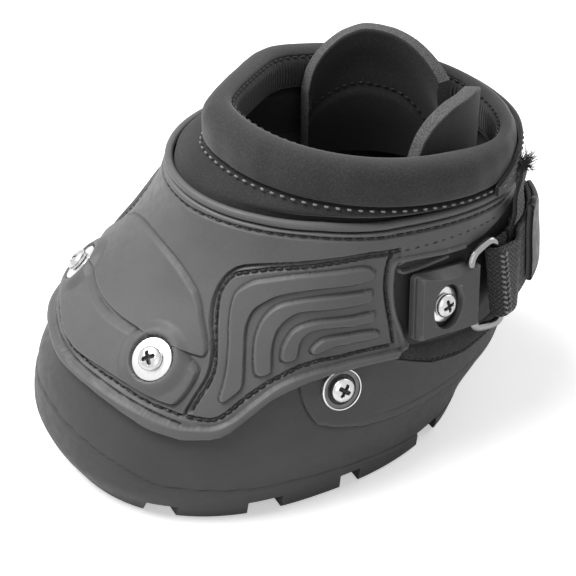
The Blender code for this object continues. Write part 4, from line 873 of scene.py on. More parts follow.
def make_shell():
    """The rubber cup with its lugged tread."""
    angles = np.linspace(-180, 180, int(390 / (GRID * 1.5)), endpoint=False)
    top = edge(SHELL_TOP, angles)
    angle, height = spread(angles, 0.0, top, int(60 / (GRID * 1.6)))
    counter_seat = (turned(angle) > 81.0) & (height > edge(COUNTER_LOWER, angle) + 1.3)
    outer = wall(angle, height, np.where(counter_seat, -3.0, shell_offset(angle, height)))
    inner = wall(*spread(angles, 10.0, top, 14), -5.5)[:, ::-1]
    floor, ground = shrunk(inner[:, -1], 12), shrunk(outer[:, 0], 16)[:, ::-1]
    for ring in (ground, outer[:, :1]):
        ring[..., 2] = np.maximum(0, (SHIFT_Y - ring[..., 1] - TOE_ROLL_START) * TOE_ROLL_SLOPE)
    columns = np.concatenate([ground, outer, inner, floor], 1)
    faces = grid_faces(*columns.shape[:2], closed_rows=True)
    made = mesh_object("shell", columns.reshape(-1, 3), faces, SHELL, grid_uv(columns))
    cut_tread(facing_out(weld(made, 2e-6)))
    dress(made, "boot", "hoof_shell")


def shrunk(ring, steps):
    """A flat disc inside a ring, as rings that close on its middle."""
    middle = np.array([0.0, ring[:, 1].mean(), ring[:, 2].mean()])
    share = np.linspace(1, 0, steps + 1)[1:][None, :, None]
    return middle + (ring[:, None] - middle) * share


def cut_tread(made):
    """Cut the gaps between the lugs, the hollow under the sole and the heel gap."""
    cutters = []
    for side in (-1, 1):
        for start, end in LUG_GAPS:
            x = side * ground_half_width((start + end) / 2 * MM) / MM
            cutters.append(block(x - GAP_REACH, x + GAP_REACH, start, end, GAP_TOP))
    cutters += [block(*SOLE_HOLLOW), block(*HEEL_GAP)]
    for cutter in cutters:
        cut = made.modifiers.new("cut", "BOOLEAN")
        cut.operation = "DIFFERENCE"
        cut.solver = "EXACT"
        cut.object = cutter
    graph = bpy.context.evaluated_depsgraph_get()
    mesh = bpy.data.meshes.new_from_object(made.evaluated_get(graph))
    made.modifiers.clear()
    made.data = mesh
    sharp(made, 50)
    for cutter in cutters:
        bpy.data.objects.remove(cutter, do_unlink=True)


def ground_half_width(place):
    """Half the width of the ground outline at a place along the boot, in metres."""
    half, mid = HALF_WIDTHS[0], WIDEST[0]
    reach, power = (mid + TOE_REACHES[0], TOE_POWERS[0])
    if place >= mid:
        reach, power = (HEEL_REACHES[0] - mid, HEEL_POWER)
    return half * (1 - min(1, abs(place - mid) / reach) ** power) ** (1 / power)


def block(left, right, front, back, top):
    """A plain cutter that starts below the ground, in millimetres."""
    corner = [(x * MM, y * MM + SHIFT_Y, z * MM)
              for x in (left, right) for y in (front, back) for z in (CUT_BELOW, top)]
    faces = [(0, 1, 3, 2), (4, 6, 7, 5), (0, 4, 5, 1), (2, 3, 7, 6), (0, 2, 6, 4), (1, 5, 7, 3)]
    return facing_out(mesh_object("cutter", corner, faces, SHELL, smooth_shade=False))


# The counter and its binding


def make_counter():
    """The smooth wrap round the heel, its front end round the rear screw."""
    fine = GRID * 1.2
    angles = np.linspace(79, 281, int(210 / fine))
    angle, height = spread(angles, edge(COUNTER_LOWER, angles), edge(COUNTER_UPPER, angles), int(30 / fine))
    rim = np.arange(79, 281, 0.4)
    away = distance(wall(angle, height), wall(rim, edge(COUNTER_LOWER, rim)))
    off = 0.8 - 0.65 * fade(away, 1.4) ** 2 - 0.3 * bell(away, 3.4, 0.35) * ramp(np.abs(angle - 180), 88, 70)
    made = skin("counter", wall(angle, height, off), wall(angle, height, -2.5), COUNTER)
    dress(made, "boot", "heel_counter")


def make_binding():
    """The ribbed elastic strip over the heel, tucked behind its neighbours and sewn along its lower edge."""
    rib_pitch, thickness, tuck, rows = 1.05, 2.6, 1.1, 24
    angles = np.linspace(99, 261, int(175 / (0.22)))
    angle, height = spread(angles, edge(COUNTER_UPPER, angles) + 0.3, edge(GAITER_LOWER, angles) - 0.3, rows)
    share = np.linspace(0, 1, rows)
    rib = np.abs(np.sin(np.pi * lengths(wall(angles, 42.0)) / MM / rib_pitch))[:, None]
    off = 0.3 + 0.5 * np.sin(np.pi * share) + 0.55 * rib * ramp(share, 0.08, 0.2) * ramp(share, 0.95, 0.85)
    outer = wall(angle, height, off - 0.4 * fade(share, 0.08))
    gap = np.clip(edge(COLLAR_LOWER, angles) - edge(GAITER_LOWER, angles), 0, 5)[:, None]
    raised = (tuck + gap) * np.clip(2 * share - 1, 0, 1) - tuck * np.clip(1 - 2 * share, 0, 1)
    made = skin("binding", outer, wall(angle, height + raised, -thickness), ELASTIC)
    dress(made, "boot", "heel_binding")
    run = np.arange(103, 257, 1.0)
    line = run, edge(COUNTER_UPPER, run) + 1.0
    stitches("binding_stitches", [(wall(*line, 0.75), wall_out(*line))], THREAD, 2.0, 0.8, 0.3)


# The collar, its roll and flaps, in millimetres

ROLL_THICK, ROLL_HEEL_THICK, ROLL_HIGH, RIB_PITCH = 12.5, 7.0, 15.0, 1.5
MOUTH_TURN = 2.45
FLAP_FOOT, FLAP_THICK, FLAP_DEPTH, CROWN_ROWS = 72.0, 4.4, 0.6, 5
HEEL_FLAP_TOP = [
    (-172, 106.0), (-166, 109.5), (-157, 113.5), (-147, 117.0), (-135, 119.5), (-122, 120.5), (-111, 118.5),
    (-103, 115.0), (-97, 111.0), (-92, 105.0), (-90, 98.0),
]
SIDE_FLAP_TOP = [
    (90, 98.5), (91.8, 105.5), (96.1, 113.0), (103.8, 118.0), (115.6, 120.5), (130.8, 119.8), (147, 117.0),
    (157, 113.5), (166, 109.5), (172, 106.0),
]
FLAP_ARCH = [
    (90.5, 89.5), (95, 93.0), (102.7, 96.1), (111, 98.3), (119.5, 99.3), (131, 98.4), (143.2, 96.7),
    (152.7, 93.4), (161.1, 88.6), (165.6, 83.6),
]
CLOSURE_TOP = [(118, 2.0), (126, 5.0), (138, 9.0), (165, 12.0), (200, 12.0), (222, 3.0)]


def make_collar():
    """The neoprene sleeve: outside from the piping to the seam, and the lining inside."""
    angles = np.linspace(-180, 180, int(300 / GRID), endpoint=False)
    top = edge(GAITER_UPPER, angles)
    angle, height = spread(angles, edge(COLLAR_LOWER, angles), top - 0.3, 16)
    share = np.linspace(0, 1, 22)[None, :, None]
    start, out = wall(angles, top + 3.8, -0.3)[:, None], away_from(angles)[:, None] * MM
    middle = start + (seam(angles)[:, None] - start) * share
    bulge = 1.4 * np.sin(np.pi * share) - 0.9 * bell(share, 1, 0.12)
    outer = np.concatenate([wall(angle, height, -0.3), middle + out * bulge], 1)
    inner = np.concatenate([wall(angle, height, -3.1), middle - out * (2.8 + 3.6 * ramp(share, 0.6, 1.0))], 1)
    dress(skin("collar", outer, inner, NEOPRENE, closed=True), "boot", "collar_band")


def roll_thickness(angle):
    """The roll's thickness in millimetres: slimmer round the heel."""
    return ROLL_THICK - (ROLL_THICK - ROLL_HEEL_THICK) * ramp(turned(angle), 100, 135)


def roll_section(turn):
    """Inward and upward reach of the roll's section at a turn round it, as shares of its size."""
    full = np.where(np.sin(turn) < 0, 2 / 3.6, 2 / 2.3)
    across, upward = spow(np.cos(turn), full), spow(np.sin(turn), full)
    return (1 - across) / 2, (1 + upward) / 2


def make_roll():
    """The padded roll, drawn in along its seams, with a ribbed lining on its inner side."""
    angles = np.linspace(-180, 180, int(620 / GRID), endpoint=False)
    turn = np.linspace(-np.pi / 2, 3 * np.pi / 2, 72, endpoint=False)
    inward, rise = roll_section(turn)
    arc = lengths(seam(angles, 12.0)) / MM
    wave = 0.10 * np.sin(np.radians(angles) * 17 + 1.3) + 0.07 * np.sin(np.radians(angles) * 31)
    swell = wave[:, None] * np.maximum(0, np.cos(turn))
    ribs = 0.16 * np.sin(2 * np.pi * arc / RIB_PITCH)[:, None] * (ramp(turn, 2.7, 2.9) * ramp(turn, 4.0, 3.8))
    depth = inward * roll_thickness(angles)[:, None] - swell + ribs
    points = seam(angles[:, None], depth, 0.3 + ROLL_HIGH * rise + 0.2 * swell)
    points = points + away_from(angles)[:, None] * bell(turn, MOUTH_TURN, 0.10)[None, :, None] * 0.8 * MM
    faces = grid_faces(len(angles), len(turn), closed_rows=True, closed_columns=True)
    made = facing_out(mesh_object("roll", points.reshape(-1, 3), faces, ROLL, grid_uv(points)))
    dress(made, "boot", "collar_roll")
    ring = np.arange(-180, 181, 0.5)
    stitches("roll_stitches", [(seam(ring, -0.35, 0.75), away_from(ring))], GLINT, 1.4, 2.2, 0.38)
    inward, rise = roll_section(MOUTH_TURN)
    line = seam(ring, inward * roll_thickness(ring) - 0.1, 0.4 + ROLL_HIGH * rise)
    stitches("mouth_stitches", [(line, unit([0, 0, 1.0] - away_from(ring)))], THREAD, 2.2, 1.0, 0.36)


def flap_point(angle, height, depth):
    """A point inside the collar, at a depth in from the roll's inner face."""
    place = seam(angle, ROLL_THICK + depth)
    place[..., 2] = height * MM
    return place


def smooth_table(table, place):
    """A table's value at places, on a smooth curve through its rows."""
    marks, values = np.array(table, float).T
    return smooth(values, place, marks)


def make_flap(name, node, body, table):
    """A flap of foam with knitted faces and a bare cut edge."""
    fine = GRID * 1.4
    rows = int(40 / fine)
    angles = np.linspace(table[0][0], table[-1][0], int(90 / fine))
    top = smooth_table(table, angles)[:, None]
    angle, height = spread(angles, FLAP_FOOT, top[:, 0], rows)
    round_over = 0.5 * fade(top - height, 0.6) ** 2
    pocket = at(FLAP_ARCH, turned(angle)) - height
    thick = FLAP_THICK + 1.4 * ramp(height, top - 16, top - 4) + 1.3 * ramp(pocket, 0.6, 4.0)
    outer = flap_point(angle, height, FLAP_DEPTH + round_over)
    inner = flap_point(angle, height, FLAP_DEPTH + thick - round_over)
    blend = np.linspace(0, 1, CROWN_ROWS + 2)[1:-1][None, :, None]
    crown = outer[:, -1:] * (1 - blend) + inner[:, -1:] * blend
    loop = np.concatenate([outer, crown, inner[:, ::-1]], 1)
    count, tall = loop.shape[:2]
    faces = grid_faces(count, tall, closed_columns=True)
    column = np.arange(len(faces)) % tall
    cut_edge = (column >= rows - 1) & (column < rows + CROWN_ROWS)
    faces = np.vstack([faces] + end_caps(count, tall, rows))
    marks = np.concatenate([cut_edge, np.ones(len(faces) - len(cut_edge), bool)])
    made = mesh_object(name, loop.reshape(-1, 3), faces, [FLAP_FACE, FOAM_EDGE], grid_uv(loop), marks=marks)
    dress(facing_out(sharp(made, 60)), body, node)


def arch_stitches(name, body, side):
    """The stitched arch over the pocket on a flap's inner face."""
    marks = np.arange(len(FLAP_ARCH))
    place = np.linspace(0, marks[-1], 200)
    angle, height = (smooth(values, place, marks) for values in np.array(FLAP_ARCH).T)
    path = flap_point(side * angle, height, 5.1)
    stitches(name, [(path, -away_from(side * angle))], THREAD, 2.0, 1.0, 0.34, body=body)


def make_closure():
    """The collar's overlapping end, a thin layer outside the roll."""
    angles = np.linspace(118, 222, int(110 / (GRID * 1.4)))
    angle, level = spread(angles, -1.5, smooth_table(CLOSURE_TOP, angles), 30)
    made = skin("closure", seam(angle, -2.0, level), seam(angle, -0.6, level), NEOPRENE)
    dress(made, "boot", "closure_flap")
    run = np.linspace(120, 220, 260)
    line = seam(run, -2.05, smooth_table(CLOSURE_TOP, run) - 1.8)
    stitches("closure_stitches", [(line, away_from(run))], GLINT, 1.8, 1.4, 0.3)


# Fasteners, in millimetres

HOLE, WASHER_RADIUS, BRACKET_WASHER_RADIUS, RIM_CUP = 2.3, 7.1, 6.2, 0.45
HEAD_RADIUS, HEAD_HIGH, SHANK_RADIUS = 4.05, 2.7, 2.0
CROSS_HALF, CROSS_EDGE, CROSS_REACH, CROSS_END = 0.42, 0.75, 1.9, 2.5

# The paired fasteners: their spot, the washer's level and cup, the head's seat, the nut's barrel and the
# cross's turn in degrees. The shank's length and the nut's top are the same for all.
PAIRED = {"front": (FRONT_SCREW, 3.4, 0.0, 4.7, 2.2, 35), "rear": (REAR_SCREW, 0.75, RIM_CUP, 1.6, 1.6, 50)}
PAIRED_LENGTH, NUT_TOP = 6.3, -5.3


def frame_on_wall(angle, height, off=0.0):
    """A frame on the wall: X to the heel, Y up, Z straight out."""
    out = Vector(wall_out(np.array(abs(angle)), np.array(float(height))))
    heelward = Vector(wall(abs(angle) + 0.5, height) - wall(abs(angle) - 0.5, height))
    if angle < 0:
        out.x, heelward.x = -out.x, -heelward.x
    level = Vector((heelward.x, heelward.y, 0)).normalized()
    level = (level - out * level.dot(out)).normalized()
    up = out.cross(level)
    made = Matrix((level, up, out)).transposed().to_4x4()
    place = wall(abs(angle), height, off)
    made.translation = Vector((math.copysign(place[0], angle), place[1], place[2]))
    return made


def washer(name, node, matrix, radius=WASHER_RADIUS, cup=0.0):
    """A bright washer with soft edges; a cupped one has a bright rim round a dish in dark steel, its middle
    darker still, both painted shade.
    """
    if cup:
        profile = [(HOLE, 0.6), (4.9, 0.6), (5.2, 0.95), (radius - 0.65, 1.05), (radius - 0.5, 1.05 + cup),
                   (radius - 0.2, 1.15 + cup), (radius, 0.9 + cup)]
        # Painted shade: the dish takes the dark dish steel, the middle the darker recess steel.
        marks = [2, 2, 2, 1, 1] + [0] * 6
    else:
        profile = [(HOLE, 1.0), (radius - 0.5, 1.0), (radius - 0.15, 0.9), (radius, 0.7)]
        marks = [0] * 8
    profile = [(HOLE, 0.1)] + profile + [(radius, 0.1), (radius - 0.1, 0.0), (HOLE + 0.1, 0.0), (HOLE, 0.1)]
    made = lathe(name, profile, matrix, [WASHER, DISH_SHADE, RECESS], marks=marks)
    dress(sharp(made, 30), "boot", node)


def screw(name, node, matrix, seat, length, turn):
    """A pan-head screw with a cross recess."""
    sides, rings = ((96, 26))
    radius = HEAD_RADIUS * np.sin(np.linspace(0, 1, rings) * np.pi / 2) ** 0.9
    dome = seat + HEAD_HIGH * (0.45 + 0.55 * np.clip(1 - (radius / HEAD_RADIUS) ** 2.6, 0, 1) ** 0.6)
    below = [(HEAD_RADIUS, seat + 0.5), (HEAD_RADIUS - 0.15, seat + 0.02), (SHANK_RADIUS, seat),
             (SHANK_RADIUS, -length + 0.4), (SHANK_RADIUS - 0.3, -length), (0.0, -length)]
    profile = np.vstack([np.column_stack([radius, dome]), below])
    round_turn = full_turn(sides)
    x, y = profile[:, :1] * np.cos(round_turn), profile[:, :1] * np.sin(round_turn)
    t = math.radians(turn)
    arms = (x * math.cos(t) + y * math.sin(t), y * math.cos(t) - x * math.sin(t))
    arm = np.maximum(*(ramp(np.abs(way), CROSS_EDGE, CROSS_HALF) for way in arms))
    on_head = (np.arange(len(profile)) < rings)[:, None]
    sunk = arm * ramp(np.hypot(x, y), CROSS_END, CROSS_REACH) * on_head
    z = profile[:, 1:] - sunk * (1.5 - 0.25 * np.hypot(x, y))
    quads = grid_faces(len(profile), sides, closed_columns=True)
    # Painted shade: the cross recess's faces take the dark recess steel.
    marks = sunk.ravel()[quads].mean(1) > 0.4
    points = placed(np.stack([x, y, z], -1).reshape(-1, 3) * MM, matrix)
    made = facing_out(weld(mesh_object(name, points, quads, [SCREW, RECESS], marks=marks)))
    dress(sharp(made, 42), "boot", node)


def nut(name, node, matrix, top, barrel):
    """A flanged nut inside the boot."""
    tube_wall = [(HOLE, top + barrel), (3.2, top + barrel), (3.3, top + barrel - 0.1), (3.3, top)]
    flange = [(5.8, top), (6.0, top - 0.3), (6.0, top - 0.7), (5.6, top - 1.0), (2.5, top - 1.0),
              (HOLE, top - 0.8)]
    profile = tube_wall + flange + tube_wall[:1]
    dress(lathe(name, profile, matrix, SCREW, 40), "boot", node)


def make_fasteners():
    """The washers, screws and paired nuts in their places; the strap's two nuts stay plain solids."""
    for side, sign in (("right", 1), ("left", -1)):
        for name, (spot, level, cup, seat, barrel, turn) in PAIRED.items():
            base = frame_on_wall(sign * spot[0], spot[1])
            washer(f"{name}_disc_{side}", f"{name}_washer_{side}", base @ lift(level), cup=cup)
            screw(f"{name}_bolt_{side}", f"{name}_screw_{side}", base, seat, PAIRED_LENGTH, turn * sign)
            nut(f"{name}_insert_{side}", f"{name}_nut_{side}", base, NUT_TOP, barrel)
    for name, sign, seat, radius, turn in (("bracket", 1, 3.3, BRACKET_WASHER_RADIUS, 10),
                                           ("anchor", -1, 5.6, WASHER_RADIUS, 25)):
        base = frame_on_wall(sign * STRAP_SCREW[0], STRAP_SCREW[1])
        washer(f"{name}_disc", f"{name}_washer", base @ lift(seat + 0.3), radius)
        screw(f"{name}_bolt", f"{name}_screw", base, seat + 1.6, 0.7, turn)


def lift(height):
    """A move straight out of the wall, in millimetres."""
    return Matrix.Translation((0, 0, height * MM))


# The bracket, the ring and the strap, in millimetres

BRACKET_FRAME = frame_on_wall(*STRAP_SCREW, 2.1)
NEAR_BAR, BARREL, FAR_BAR = 13.0, 3.1, (125.8, 7.7)
PLATE, PLATE_MIDDLE, PLATE_TURN, PLATE_FACE = (13.6, 11.05), (0.4, 1.6), math.radians(-9.5), 5.2
OPENING_MIDDLE, OPENING, OPENING_LEAN = (-0.4, 0.3), (6.4, 7.6), math.radians(-14)
WIRE_RADIUS, RING_HALF, RING_CORNER = 1.5, 15.0, 2.8
HALF_WEB, WEB_THICK, YARN, RIB, LOOP_RADIUS = 12.7, 1.6, 1.75, 1.6, 1.9
STANDING_OFF, TAIL_OFF = 4.0, 6.6
TAB_FOOT, TAB_OFF, TAB_THICK = 49.0, 8.8, 2.1
TAB_TOP = [(141, 77.6), (143, 79), (145, 78.6), (148, 75.8), (151, 73), (156, 71.2), (168, 70.4)]


def bracket_height(x, y):
    """The plate's outer face over its own plan, in millimetres."""
    brow = 0.4 + 2.6 * np.clip(1 - ((x - 1) / 13.5) ** 2, 0, 1)
    upper = 3.4 * fade(PLATE[1] - y, brow) ** 0.9
    left = 2.7 * fade(x + PLATE[0] - 0.7, 1.0)
    lower = 1.0 * fade(y + PLATE[1], 1.0) ** 2
    right = 0.6 * fade(PLATE[0] - x, 0.8) ** 2
    return PLATE_FACE - np.maximum(np.maximum(left, upper), np.maximum(lower, right))


def make_bracket():
    """The moulded keeper, tilted a little, with its oval opening and its sagging upper bevel."""
    turn = full_turn(160)
    spin, lean = turning(PLATE_TURN), turning(OPENING_LEAN)
    hole = OPENING_MIDDLE + np.stack([OPENING[0] * np.cos(turn), OPENING[1] * np.sin(turn)], 1) @ lean
    outline = rounded_box(turn, *PLATE, 1.6, spin @ PLATE_MIDDLE) @ spin
    plans = [hole + (outline - hole) * t for t in np.linspace(0, 1, 60) ** 0.8]
    heights = [bracket_height(*((plan - PLATE_MIDDLE) @ spin.T).T) for plan in plans]
    heights[0] = heights[0] - 0.4
    web = [(hole * t, 1.2) for t in (0.001, 0.6, 0.98)]
    well = [(hole, z) for z in (1.25, 2.8, 4.3)]
    sides = [(outline, heights[-1] * (1 - t) + 0.05 * t) for t in (0.3, 0.6, 0.9, 1.0)]
    base = [(outline * t, 0.0) for t in (0.98, 0.4, 0.001)]
    loops = [np.column_stack([plan, np.broadcast_to(height, len(turn))])
             for plan, height in web + well + list(zip(plans, heights)) + sides + base]
    points = placed(np.concatenate(loops) * MM, BRACKET_FRAME)
    made = mesh_object("keeper", points, grid_faces(len(loops), len(turn), closed_columns=True), BRACKET)
    dress(sharp(facing_out(made), 38), "bracket", "strap_bracket")


def turning(angle):
    """A flat turn, for points as rows."""
    return np.array([[math.cos(angle), math.sin(angle)], [-math.sin(angle), math.cos(angle)]])


def rounded_box(turn, half_x, half_y, corner, centre):
    """Where rays from the middle leave a rectangle with round corners."""
    direction = np.stack([np.cos(turn), np.sin(turn)], 1)
    low, high = np.zeros(len(turn)), np.full(len(turn), 40.0)
    for _ in range(40):
        middle = (low + high) / 2
        spot = direction * middle[:, None] - np.asarray(centre)
        beyond = np.abs(spot) - np.array([half_x - corner, half_y - corner])
        away = np.linalg.norm(np.maximum(beyond, 0), axis=1) + np.minimum(beyond.max(1), 0) - corner
        low, high = np.where(away < 0, middle, low), np.where(away < 0, high, middle)
    return direction * low[:, None]


def ring_frame():
    """The ring's frame: origin on its near bar, X to its far bar, Y along the bars."""
    near = BRACKET_FRAME @ Vector((NEAR_BAR * MM, 0, BARREL * MM))
    up = (BRACKET_FRAME.to_3x3() @ Vector((0, 1, 0))).normalized()
    reach = Vector(wall(FAR_BAR[0], STRAP_SCREW[1], FAR_BAR[1])) - near
    reach -= up * reach.dot(up)
    along = reach.normalized()
    made = Matrix((along, up, along.cross(up))).transposed().to_4x4()
    made.translation = near
    return made, reach.length / MM


RING_FRAME, REACH = ring_frame()


def make_ring():
    """The wire ring, its near bar leaning with the bracket."""
    outline = rounded_box(full_turn(240), REACH / 2, RING_HALF, RING_CORNER, (0.0, 0.0)) + [REACH / 2, 0]
    closed = np.vstack([outline, outline[:1]])
    place = lengths(closed)
    path = along(closed, place, np.linspace(0, place[-1], 180, endpoint=False))
    path[:, 1] *= 1 - 0.16 * fade(path[:, 0], 0.75 * REACH) ** 1.5
    path[:, 0] -= (1.25 - path[:, 1] / 12) * fade(path[:, 0], REACH)
    path = np.column_stack([path, np.zeros(len(path))]) * MM
    up = np.broadcast_to([0.0, 0.0, 1.0], path.shape)
    side = np.cross(unit(np.roll(path, -1, 0) - np.roll(path, 1, 0)), up)
    rings = rings_round(path, side, up, WIRE_RADIUS * MM, 20)
    faces = grid_faces(len(path), 20, closed_rows=True, closed_columns=True)
    made = mesh_object("wire_ring", placed(rings.reshape(-1, 3), RING_FRAME), faces, WIRE)
    dress(facing_out(made), "ring", "strap_ring")


def ribbon(name, inner, outer, across):
    """A woven strap between inner and outer edges, each a low and a high line."""
    share = np.linspace(0, 1, across)[None, :, None]
    face, back = (low[:, None] * (1 - share) + high[:, None] * share for low, high in (outer, inner))
    out = unit(face - back)
    soft = 0.45 * MM * fade(np.minimum(share, 1 - share), 0.035) ** 2
    arc = lengths(face.mean(1))[:, None] / MM
    width = np.linspace(0, 2 * HALF_WEB, across)
    bumps = np.sin(2 * np.pi * arc / YARN) * np.sin(2 * np.pi * width / RIB)
    rows = np.sin(2 * np.pi * (arc / YARN + np.floor(width / RIB) * 0.5))
    relief = (0.6 * bumps + 0.4 * rows)[..., None] * 0.14 * MM
    return skin(name, face + out * (relief - soft), back - out * (relief * 0.7 - soft), WEB)


def strap_edges(angles, off):
    """The low and high edges of webbing that lies at a distance off the wall."""
    return wall(angles, STRAP_SCREW[1] - HALF_WEB, off), wall(angles, STRAP_SCREW[1] + HALF_WEB, off)


def on_ring(x, y, z):
    """Points in the ring's frame, in millimetres, as places in the boot."""
    return placed(np.stack(np.broadcast_arrays(x, y, z), 1) * MM, RING_FRAME)


def loop_edges(turns, radius):
    """The low and high edges of the loop round the far bar."""
    return [on_ring(REACH + radius * np.cos(turns), y, radius * np.sin(turns)) for y in (-HALF_WEB, HALF_WEB)]


def joined(parts):
    """Runs of low and high edges put end to end."""
    return [np.concatenate([part[k] for part in parts]) for k in (0, 1)]


def dense_run(edges, step):
    """The same edges with points at even steps."""
    place = lengths((edges[0][0] + edges[0][1]) / 2) / MM
    even = np.linspace(0, place[-1], max(2, int(place[-1] / step)))
    return [[along(line, place, even) for line in pair] for pair in edges]


def make_strap():
    """The standing strap round the heel, and the tail looped round the ring."""
    step, across = ((0.35, 72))
    angles = np.linspace(134.3, 257, 240)
    edges = [strap_edges(angles, off) for off in (STANDING_OFF + WEB_THICK, STANDING_OFF)]
    outer, inner = dense_run(edges, step)
    dress(ribbon("standing_strap", inner, outer, across), "boot", "strap_webbing")
    under_angles, over_angles = np.array([132.8, 131.3]), np.linspace(129.8, 172, 100)
    turns = np.radians(270 - 180 * np.linspace(0, 1, 40))
    start = FAR_BAR[1] + LOOP_RADIUS
    lower = start + (TAIL_OFF - start) * ramp(over_angles, 129.8, 137.8)
    outside = joined([strap_edges(under_angles, STANDING_OFF), loop_edges(turns, LOOP_RADIUS + WEB_THICK),
                      strap_edges(over_angles, lower + WEB_THICK)])
    within = joined([strap_edges(under_angles, STANDING_OFF + WEB_THICK), loop_edges(turns, LOOP_RADIUS),
                     strap_edges(over_angles, lower)])
    outer, inner = dense_run([outside, within], step)
    dress(ribbon("strap_end", inner, outer, across), "tail", "strap_tail")
    rows = []
    share = np.linspace(0, 1, 10)
    for level in np.arange(-11.6, 11.0, 1.9):
        for side in (-1, 1):
            turn = np.radians(84 + side * (5 + 27 * share))
            out = np.stack([np.cos(turn), np.zeros(10), np.sin(turn)], 1)
            spot = on_ring(REACH + 3.75 * out[:, 0], level + 1.3 * share, 3.75 * out[:, 2])
            rows.append((spot, out @ np.array(RING_FRAME.to_3x3()).T))
    stitches("strap_stitches", rows, GLINT, 1.8, 0.05, 0.42, body="tail")


def make_tab():
    """The smooth band on the strap's end, with its curved top."""
    angles = np.linspace(TAB_TOP[0][0], TAB_TOP[-1][0], 60)
    top = at(TAB_TOP, angles)
    angle, height = spread(angles, TAB_FOOT, top, 90)
    away = np.minimum(height - TAB_FOOT, top[:, None] - height)
    soft = 0.6 * fade(away, 0.8) ** 2
    outer = wall(angle, height, TAB_OFF + TAB_THICK - soft - 0.25 * bell(away, 2.0, 0.4))
    made = skin("strap_band", outer, wall(angle, height, TAB_OFF + soft), TAB)
    dress(made, "tail", "strap_tab")


def make_pull():
    """The short upright strip behind the collar, with its frayed end."""
    angles = np.linspace(133, 140, 26)
    share = np.linspace(0, 1, 60)[None, :, None]
    wave = away_from(angles)[:, None] * 0.35 * np.sin(share * 9) * MM
    faces = []
    for off, inward in ((7.6, -4.2), (6.2, -2.8)):
        low, high = wall(angles, 74.5, off), seam(angles, inward, 3.5)
        faces.append(low[:, None] + (high - low)[:, None] * share + wave)
    outer, inner = faces
    dress(skin("pull_tape", outer, inner, WEB), "boot", "pull_strip")
    fray(outer[:, -1], inner[:, -1])


def fray(outer_top, inner_top):
    """Loose fibres at the strip's cut end."""
    chance = np.random.default_rng(7)
    fibres, sides, rings = 260, 5, 9
    s = np.linspace(-0.3, 1, rings)[:, None]
    thick = 0.11 * MM * (1.1 - 0.6 * np.clip(s[:, 0], 0, 1))
    points, faces = [], []
    for k in range(fibres):
        spot = chance.integers(0, len(outer_top))
        t = chance.random()
        base = outer_top[spot] * t + inner_top[spot] * (1 - t)
        lean = chance.normal(0, 0.6, 3) + [0.35, 0.35, 1.0]
        curl = chance.normal(0, 0.8, 3)
        length = chance.uniform(1.5, 5.5) * MM
        spine = base + (unit(lean) * s + curl * 0.45 * s ** 2) * length
        run = unit(np.gradient(spine, axis=0))
        side = unit(np.cross(run, [0.3, 1.0, 0.1]))
        points.append(rings_round(spine, side, np.cross(side, run), thick, sides).reshape(-1, 3))
        faces.append(grid_faces(rings, sides, closed_columns=True) + k * rings * sides)
    dress(mesh_object("pull_fray", np.vstack(points), np.vstack(faces), FRAY), "boot")


# The stage, in metres

FLOOR_HALF, FLOOR_DROP, FLOOR_GLOW, SKY_GLOW = 0.9, -0.0002, 0.45, 0.26
LAMPS = {"key": ((-0.28, -0.50, 1.1), 0.85, 19.0), "fill": ((0.95, -0.25, 0.6), 0.9, 1.5),
         "rim": ((-0.2, 0.9, 0.7), 0.7, 3.5)}
LAMP_AIM = Vector((0, 0, 0.05))
PHOTO_SIDE, PHOTO_SHIFT = 576, (7, -12)
AZIMUTH, RISE, CAMERA_AWAY = math.radians(63), math.radians(34), 0.560
CAMERA_AIM = Vector((0.0, 0.014 + SHIFT_Y, 0.048))


def make_floor():
    """A pale floor that glows a little for the camera and keeps the boot's shadow."""
    corner = [(x * FLOOR_HALF, y * FLOOR_HALF, 0) for x, y in ((-1, -1), (1, -1), (1, 1), (-1, 1))]
    n = new_material("floor")
    mottle = n.noise(3.0, 2.0)
    n.set(Base_Color=n.mix(mottle, grey(0.93), grey(0.95)), Roughness=n.range(mottle, 0.9, 0.95))
    seen = n.new("ShaderNodeLightPath").outputs["Is Camera Ray"]
    glow = n.new("ShaderNodeEmission", {"Color": grey(1.0), "Strength": n.math("MULTIPLY", seen, FLOOR_GLOW)})
    total = n.new("ShaderNodeAddShader", {0: n.shader.outputs[0], 1: glow.outputs[0]})
    n.put(n.tree.nodes["Material Output"].inputs["Surface"], total.outputs[0])
    floor = mesh_object("floor", corner, [(0, 1, 2, 3)], n.owner, smooth_shade=False)
    floor.location.z = FLOOR_DROP


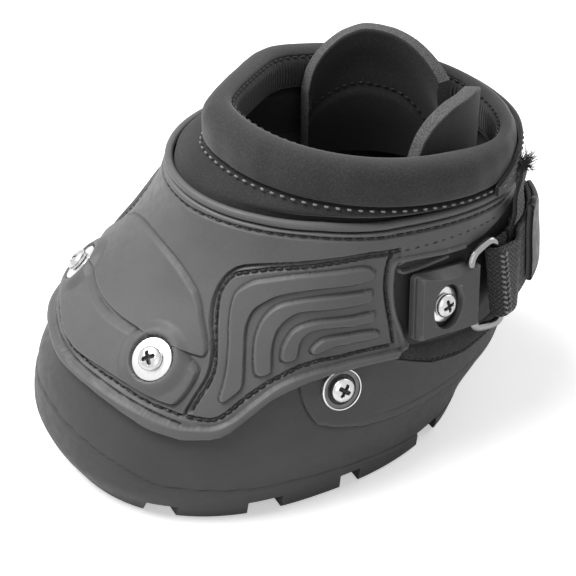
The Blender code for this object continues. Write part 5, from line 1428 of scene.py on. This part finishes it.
def make_world():
    """A white background for the camera and for reflections, and soft light for the rest."""
    world = bpy.data.worlds.new("studio")
    bpy.context.scene.world = world
    n = Nodes(world)
    n.tree.nodes.clear()
    path = n.new("ShaderNodeLightPath").outputs
    mirrored = n.math("MAXIMUM", path["Is Glossy Ray"], path["Is Transmission Ray"])
    seen = n.math("MAXIMUM", path["Is Camera Ray"], mirrored)
    soft, white = (n.new("ShaderNodeBackground", {"Color": grey(1.0), "Strength": strength}).outputs[0]
                   for strength in (SKY_GLOW, 1.0))
    blend = n.new("ShaderNodeMixShader", {0: seen, 1: soft, 2: white})
    n.new("ShaderNodeOutputWorld", {"Surface": blend.outputs[0]})


def make_lamps():
    """Soft square lamps that look at the boot."""
    for name, (place, size, power) in LAMPS.items():
        light = bpy.data.lights.new(name, "AREA")
        light.size = size
        light.energy = power
        aimed(name, light, Vector(place), Vector(place) - LAMP_AIM)


def aimed(name, data, place, back):
    """An object whose back is turned to a direction."""
    made = bpy.data.objects.new(name, data)
    made.location = place
    made.rotation_euler = back.to_track_quat("Z", "Y").to_euler()
    bpy.context.scene.collection.objects.link(made)
    return made


def make_camera():
    """The camera at the photograph's angle."""
    data = bpy.data.cameras.new("camera")
    data.lens = 100.0
    data.sensor_width = 36.0
    data.shift_x, data.shift_y = (shift / PHOTO_SIDE for shift in PHOTO_SHIFT)
    data.clip_start = 0.01
    back = Vector((math.sin(AZIMUTH) * math.cos(RISE), -math.cos(AZIMUTH) * math.cos(RISE), math.sin(RISE)))
    bpy.context.scene.camera = aimed("camera", data, CAMERA_AIM + back * CAMERA_AWAY, back)
    bpy.context.scene.view_settings.view_transform = "Standard"


make_camera()
make_floor()
make_world()
make_lamps()
make_gaiter()
make_piping()
make_shell()
make_counter()
make_binding()
make_collar()
make_roll()
make_flap("heel_foam", "heel_flap", "heel_flap_body", HEEL_FLAP_TOP)
make_flap("side_foam", "side_flap", "side_flap_body", SIDE_FLAP_TOP)
arch_stitches("heel_arch", "heel_flap_body", -1)
arch_stitches("side_arch", "side_flap_body", 1)
make_closure()
make_fasteners()
make_bracket()
make_ring()
make_strap()
make_tab()
make_pull()
